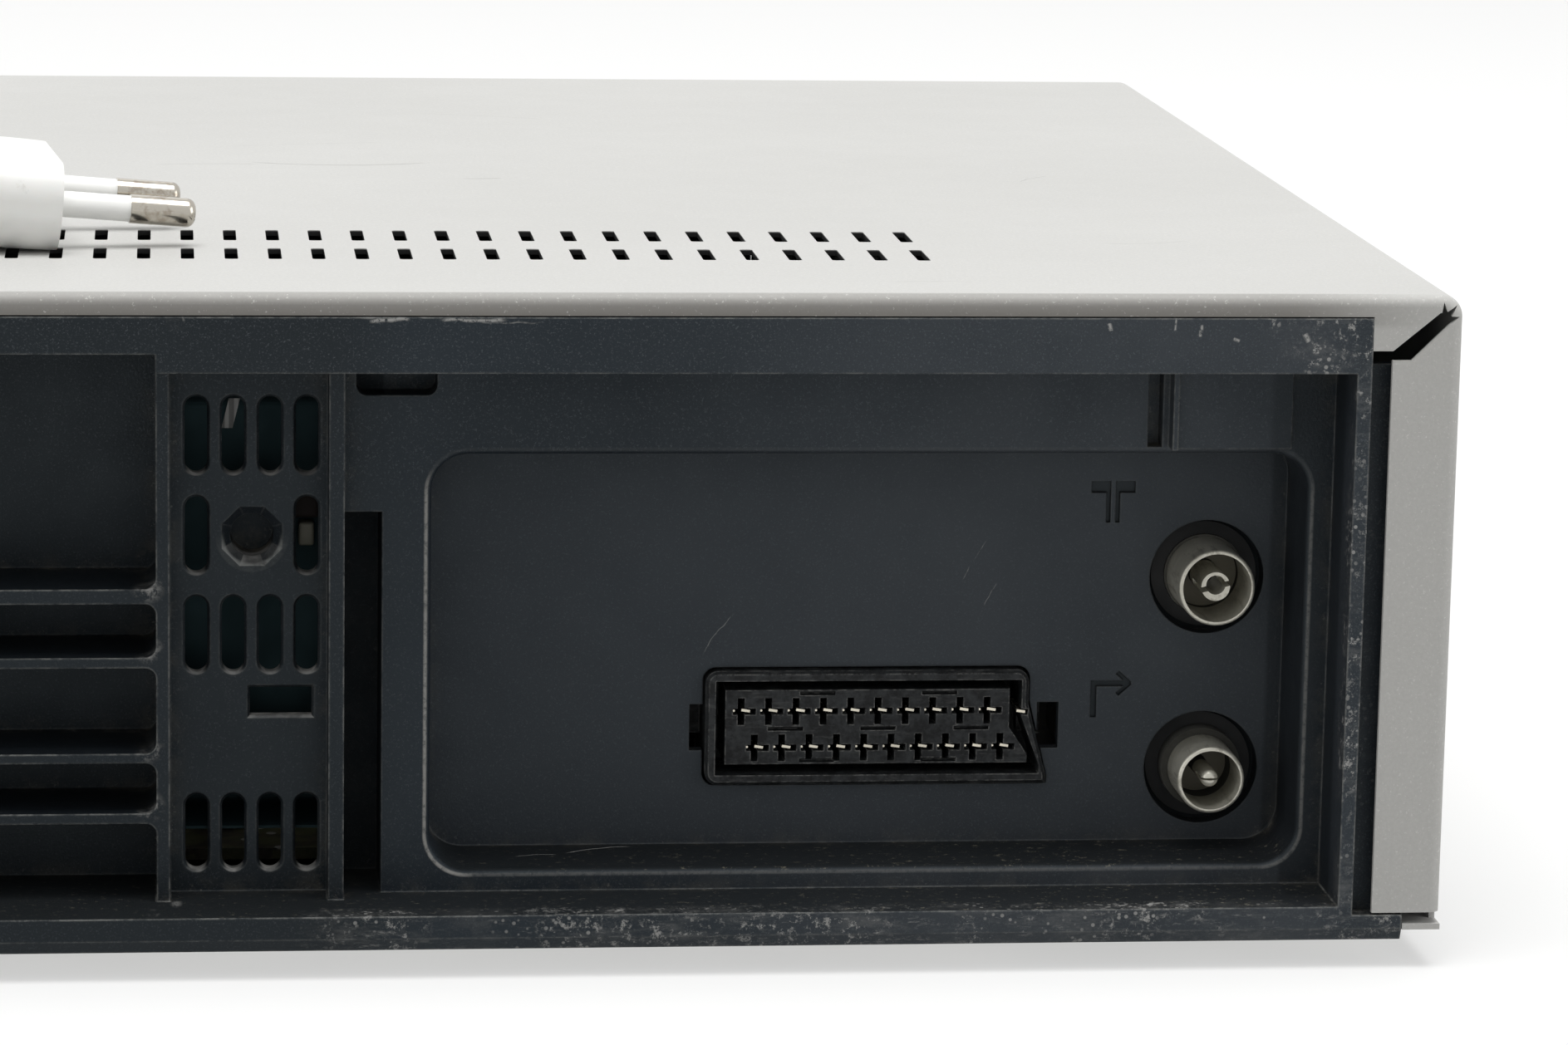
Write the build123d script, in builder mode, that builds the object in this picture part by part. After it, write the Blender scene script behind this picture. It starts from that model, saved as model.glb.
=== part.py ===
import os
from math import atan2, cos, degrees, hypot, radians, sin, tan

from build123d import *

os.makedirs("parts", exist_ok=True)

# A VHS video cassette recorder, in millimetres. +Z is up, the front faces -Y and the connectors
# face +Y. The origin is under the middle of the case, on the surface that the feet stand on.

# ---- Case ----
case_width = 380.0
case_height = 92.7
case_depth = 284.0
fascia_reach = 24.6
sheet = 0.8
cover_bottom = 5.5
cover_edge_radius = 3.0
foot_height = 4.0
foot_radius = 10.0
foot_inset = 30.0
gap = 0.3
running_clearance = 0.05

cover_depth = case_depth - fascia_reach
half_width = case_width / 2
rear_y = case_depth / 2
front_y = -case_depth / 2
cover_front_y = rear_y - cover_depth
cover_inner_top = case_height - sheet


def facing_rear(inset):
    """Upright plane that lies inset in front of the rear frame, with +X to its right."""
    return Plane.XZ.offset(inset - rear_y)


def level(height):
    """Level plane at a height above the table."""
    return Plane.XY.offset(height)


def save(builder, name):
    """Label a finished piece and write it."""
    builder.part.label = name
    export_step(builder.part, "parts/" + name + ".step")


# ---- Rear flange, lip and corner slit of the cover ----
lip_height = 2.9
flange_width = 9.5
flange_top = case_height - 8.8
flange_bottom = 7.9
slit_width = 1.3
corner_tab_bottom = flange_top + slit_width
frame_half_width = half_width - flange_width - 2.7
hem_width = 5.2
vent_count = 42
vent_pitch = 5.93
vent_width = 1.8
vent_length = 10.5
vent_row_insets = (37.2, 55.6)
cover_screw_y = (front_y + 62.0, rear_y - 72.0)
cover_screw_z = 18.0
screw_radius = 1.75

with BuildPart() as top_cover:
    with BuildSketch(facing_rear(0)):
        with Locations((0, (case_height + cover_bottom) / 2)):
            outer_form = Rectangle(case_width, case_height - cover_bottom)
        fillet(outer_form.vertices().group_by(Axis.Y)[-1], cover_edge_radius)
    extrude(amount=cover_depth)
    rear_top_edge = top_cover.edges().filter_by(Axis.X).group_by(Axis.Y)[-1].sort_by(Axis.Z)[-1]
    fillet(rear_top_edge, cover_edge_radius / 2)
    with BuildSketch(facing_rear(sheet)):
        with Locations((0, (cover_inner_top + cover_bottom - 1) / 2)):
            inner_form = Rectangle(case_width - 2 * sheet, cover_inner_top - cover_bottom + 1)
        fillet(inner_form.vertices().group_by(Axis.Y)[-1], cover_edge_radius - sheet)
    extrude(amount=cover_depth, mode=Mode.SUBTRACT)
    # the rear wall is open between the side flanges, up to the rolled lip
    with BuildSketch(facing_rear(-1)):
        with Locations((0, flange_top / 2)):
            Rectangle(2 * (half_width - flange_width), flange_top)
        with Locations((0, (corner_tab_bottom + case_height - lip_height) / 2)):
            Rectangle(2 * frame_half_width, case_height - lip_height - corner_tab_bottom)
        with Locations((0, (flange_top + corner_tab_bottom) / 2)):
            Rectangle(2 * (half_width - flange_width + slit_width), slit_width)
        with Locations((0, (cover_bottom + flange_bottom) / 2 - 1)):
            Rectangle(case_width + 2, flange_bottom - cover_bottom + 2)
        # diagonal slit with its star-shaped relief at the outer corner
        for side in (-1, 1):
            Polygon(
                (side * (half_width - flange_width), corner_tab_bottom),
                (side * (half_width - flange_width), flange_top),
                (side * (half_width - flange_width + 2 * slit_width), flange_top),
                (side * (half_width - 1.5), case_height - lip_height - 0.6),
                (side * (half_width - 3.2), case_height - lip_height + 0.6),
                align=None,
            )
            Polygon(
                (side * (half_width - 0.6), case_height - 2.9),
                (side * (half_width - 1.7), case_height - 2.8),
                (side * (half_width - 0.9), case_height - 1.3),
                (side * (half_width - 2.3), case_height - 2.2),
                (side * (half_width - 2.8), case_height - 0.9),
                (side * (half_width - 3.1), case_height - 2.6),
                (side * (half_width - 4.0), case_height - 3.3),
                (side * (half_width - 1.9), case_height - 3.9),
                align=None,
            )
    extrude(amount=sheet + 2 + cover_edge_radius / 2, mode=Mode.SUBTRACT)
    # bottom hems, bent in under the sides
    for side in (-1, 1):
        with BuildSketch(level(cover_bottom)):
            with Locations((side * (half_width - hem_width / 2), cover_front_y + cover_depth / 2)):
                Rectangle(hem_width, cover_depth)
        extrude(amount=sheet)
    with BuildSketch(level(cover_inner_top - 1)):
        for row_inset in vent_row_insets:
            with Locations((0, rear_y - row_inset)):
                with GridLocations(vent_pitch, vent_length, vent_count, 1):
                    RectangleRounded(vent_width, vent_length, vent_width / 4)
    extrude(amount=sheet + 2, mode=Mode.SUBTRACT)
    with BuildSketch(Plane.YZ.offset(-half_width - 1)):
        for screw_y in cover_screw_y:
            with Locations((screw_y, cover_screw_z)):
                Circle(screw_radius + gap)
    extrude(amount=case_width + 2, mode=Mode.SUBTRACT)
save(top_cover, "top_cover")

# ---- Bottom tray ----
tray_sheet = 1.0
tray_half_width = half_width - hem_width - 0.5
tray_wall_height = 20.0
tray_front_inset = 3.0
panel_lip = 3.0
board_level = 9.0
board_thickness = 1.6
deck_level = 27.5
deck_thickness = 1.5
deck_x = -27.0
deck_half_width = 105.0
deck_front_y = front_y + 30.0
deck_rear_y = rear_y - 46.0
post_radius = 4.0
post_inset = 6.0
tray_top = foot_height + tray_sheet
tray_front_y = cover_front_y - tray_front_inset
tray_rear_y = rear_y - panel_lip - gap
tray_length = tray_rear_y - tray_front_y
tray_mid_y = (tray_rear_y + tray_front_y) / 2
deck_posts = [
    (deck_x + side * (deck_half_width - post_inset), y)
    for side in (-1, 1)
    for y in (deck_front_y + post_inset, deck_rear_y - post_inset)
]
board_half_width = half_width - 12.0
board_front_y = front_y + 26.0
board_rear_y = rear_y - 31.0
board_posts = [
    (side * (board_half_width - 8), y)
    for side in (-1, 1)
    for y in (board_front_y + 16, 0.0, board_rear_y - 11)
]

with BuildPart() as bottom_tray:
    with BuildSketch(level(foot_height)):
        with Locations((0, tray_mid_y)):
            Rectangle(2 * tray_half_width, tray_length)
    extrude(amount=tray_sheet)
    with BuildSketch(level(tray_top)):
        for side in (-1, 1):
            with Locations((side * (tray_half_width - tray_sheet / 2), tray_mid_y - 14)):
                Rectangle(tray_sheet, tray_length - 32)
    extrude(amount=tray_wall_height)
    with BuildSketch(level(tray_top)):
        with Locations(*deck_posts):
            Circle(post_radius)
    extrude(amount=deck_level - deck_thickness - tray_top)
    with BuildSketch(level(tray_top)):
        with Locations(*board_posts):
            Circle(post_radius)
    extrude(amount=board_level - tray_top)
    with BuildSketch(Plane.YZ.offset(-tray_half_width - 1)):
        for screw_y in cover_screw_y:
            with Locations((screw_y, cover_screw_z)):
                Circle(screw_radius)
    extrude(amount=2 * tray_half_width + 2, mode=Mode.SUBTRACT)
    # ventilation slots under the power supply
    with BuildSketch(level(foot_height - 1)):
        with Locations((half_width - 65, 20)):
            with GridLocations(8, 40, 8, 2):
                SlotOverall(30, 3, rotation=90)
    extrude(amount=tray_sheet + 2, mode=Mode.SUBTRACT)
save(bottom_tray, "bottom_tray")

with BuildPart() as rubber_feet:
    with BuildSketch(level(0)):
        with GridLocations(2 * (half_width - foot_inset), 2 * (rear_y - foot_inset), 2, 2):
            Circle(foot_radius)
    extrude(amount=foot_height)
    chamfer(rubber_feet.edges().group_by(Axis.Z)[0], 0.8)
save(rubber_feet, "rubber_feet")

screw_head_radius = 4.0
screw_head_height = 1.6
with BuildPart() as cover_screws:
    for side in (-1, 1):
        for screw_y in cover_screw_y:
            with BuildSketch(Plane.YZ.offset(side * half_width)):
                with Locations((screw_y, cover_screw_z)):
                    Circle(screw_head_radius)
            extrude(amount=side * screw_head_height)
            with BuildSketch(Plane.YZ.offset(side * (tray_half_width - 4))):
                with Locations((screw_y, cover_screw_z)):
                    Circle(screw_radius - running_clearance)
            extrude(amount=side * (half_width - tray_half_width + 4 + screw_head_height / 2))
            with BuildSketch(Plane.YZ.offset(side * (half_width + screw_head_height))):
                with Locations((screw_y, cover_screw_z)):
                    Rectangle(5.0, 0.9)
                    Rectangle(0.9, 5.0)
            extrude(amount=-side * screw_head_height * 0.6, mode=Mode.SUBTRACT)
save(cover_screws, "cover_screws")

# ---- Rear panel ----
frame_top = case_height - lip_height - 0.2
frame_opening_top = frame_top - 7.5
frame_floor = 8.8
frame_bar = 2.0
field_inset = 13.0
wall = 2.0
recess_inset = 26.5
recess_left = -frame_half_width + 5.5
recess_right = recess_left + 119.2
recess_bottom = 11.8
recess_top = 69.0
recess_radius = 5.0
rim_radius = 1.0
band_bottom = recess_top + rim_radius
sign_x = recess_left + 24.4
engraving_depth = 0.55
side_strip_inset = 4.0
side_strip_edge = tray_half_width - tray_sheet - 2 * gap
rib_inset = 9.0
outer_rib = (-18.2, -16.4)
inner_rib = (-41.4, -39.3)
vent_panel_inset = 14.5
cell_inset = 24.0
cell_right = 14.0
cell_right_rib = 1.8
cell_top = frame_opening_top + 2.5
cell_ribs = ((49.6, 51.6), (40.9, 42.3), (27.9, 29.2), (19.6, 21.0))
rear_slot_width = 3.0
rear_slot_height = 10.4
rear_slot_pitch = 4.93
rear_slot_right = -21.75
louvre_count = int((half_width - 60) / rear_slot_pitch)
rear_slot_levels = (
    frame_opening_top - 10.6, frame_opening_top - 24.2, frame_opening_top - 37.8, frame_floor + 8.2,
)
lip_half_width = half_width - 5.3
lip_edge_level = 5.7
opening_half_width = frame_half_width - frame_bar
mains_x = half_width - 40.0
mains_z = 28.0
mains_hole_radius = 6.5
socket_x = recess_left + 11.0
aerial_in_z = 49.3
aerial_out_z = 22.2
aerial_hole_radius = 8.0
aerial_cup_wall = 1.4
aerial_cup_depth = 3.0
aerial_cup_floor = 4.2
aerial_base_radius = 5.6
pocket_x = (-46.5, -41.4)
pocket_z = (frame_floor, 61.3)
pocket_inset = 26.0
slot_bevel = 0.35
adjuster = (-29.2, 57.7)
adjuster_mouth = 4.4
adjuster_bore = 2.9
adjuster_depth = 6.0
cell_corner = 1.5
scart_left = recess_left + 33.1
scart_right = scart_left + 47.6
scart_bottom = 20.4
scart_top = 36.5
scart_slant = 2.6
scart_knee = 31.5
scart_proud = 1.5
scart_corner = 1.8
clip_pocket = (6.5, 3.0)


def rear_box(left, right, bottom, top, start, end, mode=Mode.ADD, radius=0.0):
    """Box between two upright insets of the rear panel, with rounded corners if radius is given."""
    with BuildSketch(facing_rear(start)) as profile:
        with Locations(((left + right) / 2, (bottom + top) / 2)):
            if radius > 0:
                RectangleRounded(right - left, top - bottom, radius)
            else:
                Rectangle(right - left, top - bottom)
    extrude(profile.sketch, amount=end - start, mode=mode)


def scart_outline(side_inset, end_inset):
    """Outline of the AV connector with its kinked end, drawn inside the outer edge."""
    end_top = scart_left + scart_slant + end_inset
    end_bottom = scart_left + end_inset
    Polygon(
        (scart_right - side_inset, scart_top - side_inset),
        (end_top, scart_top - side_inset),
        (end_top, scart_knee - 1.15 * side_inset),
        (end_bottom, scart_bottom + side_inset + 1.2),
        (end_bottom, scart_bottom + side_inset),
        (scart_right - side_inset, scart_bottom + side_inset),
        align=None,
    )


def rounded_scart_outline(side_inset, end_inset):
    """The connector's outline with its outer corners rounded."""
    with BuildSketch() as outline:
        scart_outline(side_inset, end_inset)
        fillet(outline.vertices().group_by(Axis.X)[-1], scart_corner)
        fillet(outline.vertices().group_by(Axis.Y)[-1].sort_by(Axis.X)[0], scart_corner)
    add(outline.sketch)


with BuildPart() as rear_panel:
    rear_box(-frame_half_width, frame_half_width, tray_top + gap, frame_top, 0, field_inset + wall)
    rear_box(-frame_half_width, frame_half_width, foot_height, frame_floor, 0, panel_lip)
    rear_box(-lip_half_width, lip_half_width, foot_height, flange_bottom - gap, 0, panel_lip)
    rear_box(-frame_half_width, frame_half_width, tray_top + gap, frame_floor, 0, recess_inset + wall)
    # the socket field's own walls, the vent zone and the cell zone stand deeper than the field
    rear_box(
        recess_left - wall, recess_right + wall, recess_bottom - wall, recess_top + wall,
        field_inset, recess_inset + wall,
    )
    rear_box(
        outer_rib[1] - 1, cell_right + cell_right_rib + wall, tray_top + gap, cell_top + wall,
        field_inset, cell_inset + wall,
    )
    rear_box(
        recess_left - wall, recess_left + 24.7, recess_top + wall, cell_top,
        field_inset, cell_inset + wall,
    )
    rear_box(
        recess_right - 2.7, recess_right + 11.6, frame_opening_top - 7, cell_top,
        field_inset, field_inset + 5 + wall,
    )
    rear_box(
        inner_rib[0], outer_rib[1], tray_top + gap, frame_opening_top + wall,
        field_inset, vent_panel_inset + wall,
    )
    rear_box(
        pocket_x[0] - wall, pocket_x[1] + wall, pocket_z[0] - wall, pocket_z[1] + wall,
        field_inset, pocket_inset + wall,
    )
    with BuildSketch(facing_rear(recess_inset)):
        with Locations((socket_x, aerial_in_z), (socket_x, aerial_out_z)):
            Circle(aerial_hole_radius + aerial_cup_wall)
    extrude(amount=aerial_cup_floor)
    # side strips that close the gap between the frame and the cover's flanges
    for side in (-1, 1):
        left, right = sorted((side * side_strip_edge, side * (frame_half_width - 1)))
        rear_box(
            left, right, tray_top + gap, flange_top - 1,
            side_strip_inset, side_strip_inset + wall,
        )
    # open field between the frame bars
    rear_box(
        -opening_half_width, opening_half_width, frame_floor, frame_opening_top,
        -1, field_inset, Mode.SUBTRACT,
    )
    rear_box(
        inner_rib[1], outer_rib[0], frame_floor, frame_opening_top,
        -1, vent_panel_inset, Mode.SUBTRACT,
    )
    rear_box(
        outer_rib[1], cell_right, frame_floor, cell_top, -1, cell_inset, Mode.SUBTRACT,
    )
    # sunk socket field with a rounded rim
    rear_box(
        recess_left, recess_right, recess_bottom, recess_top,
        field_inset - 1, recess_inset, Mode.SUBTRACT, recess_radius,
    )
    rim_edges = [
        edge
        for edge in rear_panel.edges().filter_by(Plane.XZ)
        if abs(edge.center().Y - rear_y + field_inset) < 0.01
        and recess_left - 0.01 < edge.center().X < recess_right + 0.01
        and recess_bottom - 0.01 < edge.center().Z < recess_top + 0.01
    ]
    fillet(rim_edges, rim_radius)
    # upper band: narrow groove, thin ridge and proud block
    rear_box(
        recess_left + 20.3, recess_left + 22.3, band_bottom, frame_opening_top,
        field_inset - 1, field_inset + 3, Mode.SUBTRACT,
    )
    rear_box(
        recess_left + 18.6, recess_left + 19.4, band_bottom, frame_opening_top,
        field_inset - 3, field_inset,
    )
    rear_box(
        recess_left + 2.8, recess_left + 18.6, band_bottom, frame_opening_top,
        field_inset - 2, field_inset,
    )
    rear_box(
        recess_right - 0.7, recess_right + 10.1, frame_opening_top - 5, frame_opening_top + 0.9,
        field_inset - 1, field_inset + 5, Mode.SUBTRACT, 1.4,
    )
    # tall narrow pocket beside the inner rib
    rear_box(*pocket_x, *pocket_z, field_inset - 1, pocket_inset, Mode.SUBTRACT)
    # ribs
    rear_box(inner_rib[0], inner_rib[1], frame_floor, frame_opening_top, rib_inset, vent_panel_inset)
    rear_box(outer_rib[0], outer_rib[1], frame_floor, frame_opening_top, rib_inset, cell_inset)
    rear_box(
        cell_right, cell_right + cell_right_rib, frame_floor, frame_opening_top, rib_inset, cell_inset,
    )
    for low, high in cell_ribs:
        rear_box(outer_rib[1], cell_right, low, high, rib_inset, cell_inset)
    cell_edges = [
        edge
        for edge in rear_panel.edges().filter_by(Axis.Y)
        if min(abs(edge.center().X - outer_rib[1]), abs(edge.center().X - cell_right)) < 0.01
        and abs(edge.length - cell_inset + rib_inset) < 0.01
        and frame_floor + 1 < edge.center().Z < frame_opening_top - 1
    ]
    fillet(cell_edges, cell_corner)
    # vent slots of the rear panel
    with BuildSketch(facing_rear(vent_panel_inset - 1)):
        for row, slot_level in enumerate(rear_slot_levels):
            columns = (0, 3) if row == 1 else (0, 1, 2, 3)
            for column in columns:
                with Locations((rear_slot_right - column * rear_slot_pitch, slot_level)):
                    SlotOverall(rear_slot_height, rear_slot_width, rotation=90)
        with Locations((-33.05, 35.05)):
            Rectangle(8.3, 3.9)
    extrude(amount=wall + 2, mode=Mode.SUBTRACT)
    slot_edges = [
        edge
        for edge in rear_panel.edges().filter_by(Plane.XZ)
        if abs(edge.center().Y - rear_y + vent_panel_inset) < 0.01
        and inner_rib[1] + 0.5 < edge.center().X < outer_rib[0] - 0.5
        and frame_floor + 0.5 < edge.center().Z < frame_opening_top - 0.5
    ]
    chamfer(slot_edges, slot_bevel)
    # blind adjuster socket: eight-sided mouth that narrows to a round bore
    with BuildSketch(facing_rear(vent_panel_inset + wall)):
        with Locations(adjuster):
            Circle(adjuster_mouth)
    extrude(amount=adjuster_depth)
    with BuildSketch(facing_rear(vent_panel_inset)):
        with Locations(adjuster):
            RegularPolygon(adjuster_mouth, 8, rotation=22.5)
    extrude(amount=adjuster_mouth - adjuster_bore, taper=45, mode=Mode.SUBTRACT)
    with BuildSketch(facing_rear(vent_panel_inset)):
        with Locations(adjuster):
            Circle(adjuster_bore)
    extrude(amount=adjuster_depth, mode=Mode.SUBTRACT)
    # openings of the socket field
    with BuildSketch(facing_rear(recess_inset - 1)):
        with Locations((socket_x, aerial_in_z), (socket_x, aerial_out_z)):
            Circle(aerial_base_radius + gap)
        rounded_scart_outline(-gap, -gap)
        for clip_x in (scart_right + clip_pocket[1] / 2 - 0.9, scart_left + 1.2 - clip_pocket[1] / 2):
            with Locations((clip_x, 28.35)):
                Rectangle(clip_pocket[1], clip_pocket[0])
    extrude(amount=wall + 2, mode=Mode.SUBTRACT)
    with BuildSketch(facing_rear(recess_inset - 1)):
        with Locations((socket_x, aerial_in_z), (socket_x, aerial_out_z)):
            Circle(aerial_base_radius + gap)
    extrude(amount=aerial_cup_floor + 2, mode=Mode.SUBTRACT)
    with BuildSketch(facing_rear(recess_inset - 1)):
        with Locations((socket_x, aerial_in_z), (socket_x, aerial_out_z)):
            Circle(aerial_hole_radius)
    extrude(amount=aerial_cup_depth + 1, mode=Mode.SUBTRACT)
    # blank label field, generic louvres and the mains lead's hole in the left half
    rear_box(36, mains_x - 22, 14, 50, field_inset - 1, field_inset + 0.6, Mode.SUBTRACT, 2.0)
    with BuildSketch(facing_rear(field_inset - 1)):
        with Locations((half_width - 94, frame_opening_top - 16)):
            with GridLocations(rear_slot_pitch, 13.6, louvre_count, 2):
                SlotOverall(rear_slot_height, rear_slot_width, rotation=90)
        with Locations((mains_x, mains_z)):
            Circle(mains_hole_radius)
    extrude(amount=wall + 2, mode=Mode.SUBTRACT)
    # bevel under the bottom bar
    with BuildSketch(Plane.YZ.offset(-lip_half_width)):
        Polygon(
            (rear_y + 1, lip_edge_level),
            (rear_y, lip_edge_level),
            (rear_y - 0.8, foot_height),
            (rear_y - 0.8, foot_height - 1),
            (rear_y + 1, foot_height - 1),
            align=None,
        )
    extrude(amount=2 * lip_half_width, mode=Mode.SUBTRACT)
    # engraved aerial and output signs
    with BuildSketch(facing_rear(recess_inset - 1)):
        for side in (-1, 1):
            with Locations((sign_x + side * 0.65, 59.9)):
                Rectangle(0.6, 5.8)
            with Locations((sign_x + side * 1.7, 62.0)):
                Rectangle(2.7, 1.6)
            with Locations((sign_x - 2.2, 34.2 + side * 0.75)):
                Rectangle(2.4, 0.6, rotation=side * 42)
        with Locations((sign_x + 2.0, 32.0)):
            Rectangle(0.8, 5.2)
        with Locations((sign_x - 0.3, 34.2)):
            Rectangle(5.4, 0.8)
    extrude(amount=1 + engraving_depth, mode=Mode.SUBTRACT)
save(rear_panel, "rear_panel")

# ---- Front fascia, flap and window ----
fascia_top = case_height - lip_height + 0.1
fascia_wall = 2.5
fascia_edge_radius = 4.0
button_proud = 0.8
fascia_front_y = front_y + button_proud
cassette_width = 188.0
cassette_thickness = 25.0
cassette_up_level = case_height - 36.2
flap_width = 193.4
flap_bottom = cassette_up_level - gap
flap_top = fascia_top - 3.0
flap_thickness = 2.0
flap_axis_y = fascia_front_y + 2.6
flap_axis_z = flap_top - 0.9
flap_pin_radius = 1.2
flap_pin_length = 2.6
ear_thickness = 2.6
window_left = 78.0
window_right = half_width - 12.0
window_top = fascia_top - 9.9
window_bottom = window_top - 20.0
window_thickness = 1.6
window_step = 1.5
control_width = window_right - window_left
key_width = 0.16 * control_width
rewind_x = window_left + 0.1 * control_width
play_x = window_left + 0.3 * control_width
fast_forward_x = window_left + 0.5 * control_width
channel_x = window_left + 0.82 * control_width
# name, middle x, middle z, width, height
buttons = (
    ("power_button", 29.0 - half_width, fascia_top - 17.9, 30.0, 9.0),
    ("eject_button", 29.0 - half_width, fascia_top - 33.9, 30.0, 7.0),
    ("rewind_button", rewind_x, 42.0, key_width, 9.0),
    ("play_button", play_x, 42.0, key_width, 9.0),
    ("fast_forward_button", fast_forward_x, 42.0, key_width, 9.0),
    ("stop_button", play_x, 28.0, key_width, 9.0),
    ("record_button", rewind_x, 28.0, key_width, 9.0),
    ("channel_down_button", channel_x, 28.0, key_width, 9.0),
    ("channel_up_button", channel_x, 42.0, key_width, 9.0),
)


def front_box(left, right, bottom, top, start, end, mode=Mode.ADD, radius=0.0):
    """Box between two depths behind the fascia's front face."""
    with BuildSketch(Plane.XZ.offset(-fascia_front_y - start)) as profile:
        with Locations(((left + right) / 2, (bottom + top) / 2)):
            if radius > 0:
                RectangleRounded(right - left, top - bottom, radius)
            else:
                Rectangle(right - left, top - bottom)
    extrude(profile.sketch, amount=start - end, mode=mode)


fascia_depth = cover_front_y - gap - fascia_front_y
flap_left = deck_x - flap_width / 2
flap_right = deck_x + flap_width / 2
with BuildPart() as front_fascia:
    front_box(-half_width, half_width, foot_height, fascia_top, 0, fascia_depth)
    fillet(front_fascia.edges().filter_by(Axis.Y), fascia_edge_radius)
    fillet(front_fascia.faces().sort_by(Axis.Y)[0].edges(), 1.6)
    front_box(
        -half_width + fascia_wall, half_width - fascia_wall, foot_height + fascia_wall,
        fascia_top - fascia_wall, fascia_wall, fascia_depth + 1, Mode.SUBTRACT, fascia_edge_radius,
    )
    # the tray's front edge tucks in above the fascia's bottom wall
    front_box(
        -tray_half_width - gap, tray_half_width + gap, foot_height - 1, foot_height + fascia_wall + 1,
        fascia_depth - 4, fascia_depth + 1, Mode.SUBTRACT,
    )
    # cassette opening with two ears that hold the flap's pins
    front_box(
        flap_left - gap, flap_right + gap, flap_bottom - gap, flap_top + gap,
        -1, fascia_wall + 1, Mode.SUBTRACT,
    )
    for ear_x in (flap_left - gap - ear_thickness, flap_right + gap):
        front_box(ear_x, ear_x + ear_thickness, flap_axis_z - 10, fascia_top - 1, 1, 9)
    with BuildSketch(Plane.YZ.offset(flap_left - 10)):
        with Locations((flap_axis_y, flap_axis_z)):
            Circle(flap_pin_radius + running_clearance)
    extrude(amount=flap_width + 20, mode=Mode.SUBTRACT)
    # stepped seat of the display window
    front_box(
        window_left - gap, window_right + gap, window_bottom - gap, window_top + gap,
        -1, window_thickness, Mode.SUBTRACT, 2.0,
    )
    front_box(
        window_left + window_step, window_right - window_step, window_bottom + window_step,
        window_top - window_step, -1, fascia_wall + 1, Mode.SUBTRACT, 1.5,
    )
    # button holes and a shadow line across the front
    for button_name, x, z, button_width, button_height in buttons:
        front_box(
            x - button_width / 2 - gap, x + button_width / 2 + gap,
            z - button_height / 2 - gap, z + button_height / 2 + gap,
            -1, fascia_wall + 1, Mode.SUBTRACT, 1.2 + gap,
        )
    front_box(-half_width + 8, half_width - 8, 14, 15, -1, 0.8, Mode.SUBTRACT)
save(front_fascia, "front_fascia")

with BuildPart() as cassette_flap:
    flap_front = flap_axis_y - fascia_front_y - 1.6
    front_box(flap_left, flap_right, flap_bottom, flap_top, flap_front, flap_front + flap_thickness)
    fillet(cassette_flap.edges().filter_by(Axis.Y), 0.6)
    front_box(flap_left + 20, flap_right - 20, flap_bottom + 2.8, flap_bottom + 4.0, flap_front - 1, flap_front + 0.6, Mode.SUBTRACT)
    for pin_start, pin_way in ((flap_left, -1), (flap_right, 1)):
        with BuildSketch(Plane.YZ.offset(pin_start - pin_way * 6)):
            with Locations((flap_axis_y, flap_axis_z)):
                Circle(flap_pin_radius)
        extrude(amount=pin_way * (6 + flap_pin_length))
save(cassette_flap, "cassette_flap")

with BuildPart() as display_window:
    front_box(
        window_left, window_right, window_bottom, window_top, 0, window_thickness, Mode.ADD, 2.0 - gap,
    )
save(display_window, "display_window")

button_stem = (5.0, 4.0, 9.0)
for button_name, x, z, button_width, button_height in buttons:
    with BuildPart() as push_button:
        front_box(
            x - button_width / 2, x + button_width / 2, z - button_height / 2, z + button_height / 2,
            -button_proud, fascia_wall + 1.5, Mode.ADD, 1.2,
        )
        fillet(push_button.faces().sort_by(Axis.Y)[0].edges(), 0.5)
        # flange that keeps the button behind the front wall
        front_box(
            x - button_width / 2 - 1, x + button_width / 2 + 1,
            z - button_height / 2 - 1, z + button_height / 2 + 1,
            fascia_wall + gap, fascia_wall + 1.5, Mode.ADD, 1.2,
        )
        front_box(
            x - button_stem[0] / 2, x + button_stem[0] / 2, z - button_stem[1] / 2,
            z + button_stem[1] / 2, fascia_wall + 1.5, fascia_wall + 1.5 + button_stem[2],
        )
    save(push_button, button_name)

with BuildPart() as display_board:
    front_box(window_left - 2, half_width - 10, 18, fascia_top - 5.9, 16.0, 17.6)
    front_box(
        window_left + 8, window_right - 8, window_bottom + 2, window_top - 2, 8.0, 16.0, Mode.ADD, 2.0,
    )
    for button_name, x, z, button_width, button_height in buttons:
        if x > 0:
            front_box(x - 3, x + 3, z - 3, z + 3, 14.4, 16.0)
save(display_board, "display_board")

# ---- Electronics ----
with BuildPart() as main_board:
    with BuildSketch(level(board_level)):
        with Locations((0, (board_front_y + board_rear_y) / 2)):
            Rectangle(2 * board_half_width, board_rear_y - board_front_y)
        with Locations(*deck_posts):
            Circle(post_radius + 1, mode=Mode.SUBTRACT)
    extrude(amount=board_thickness)
save(main_board, "main_board")

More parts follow.
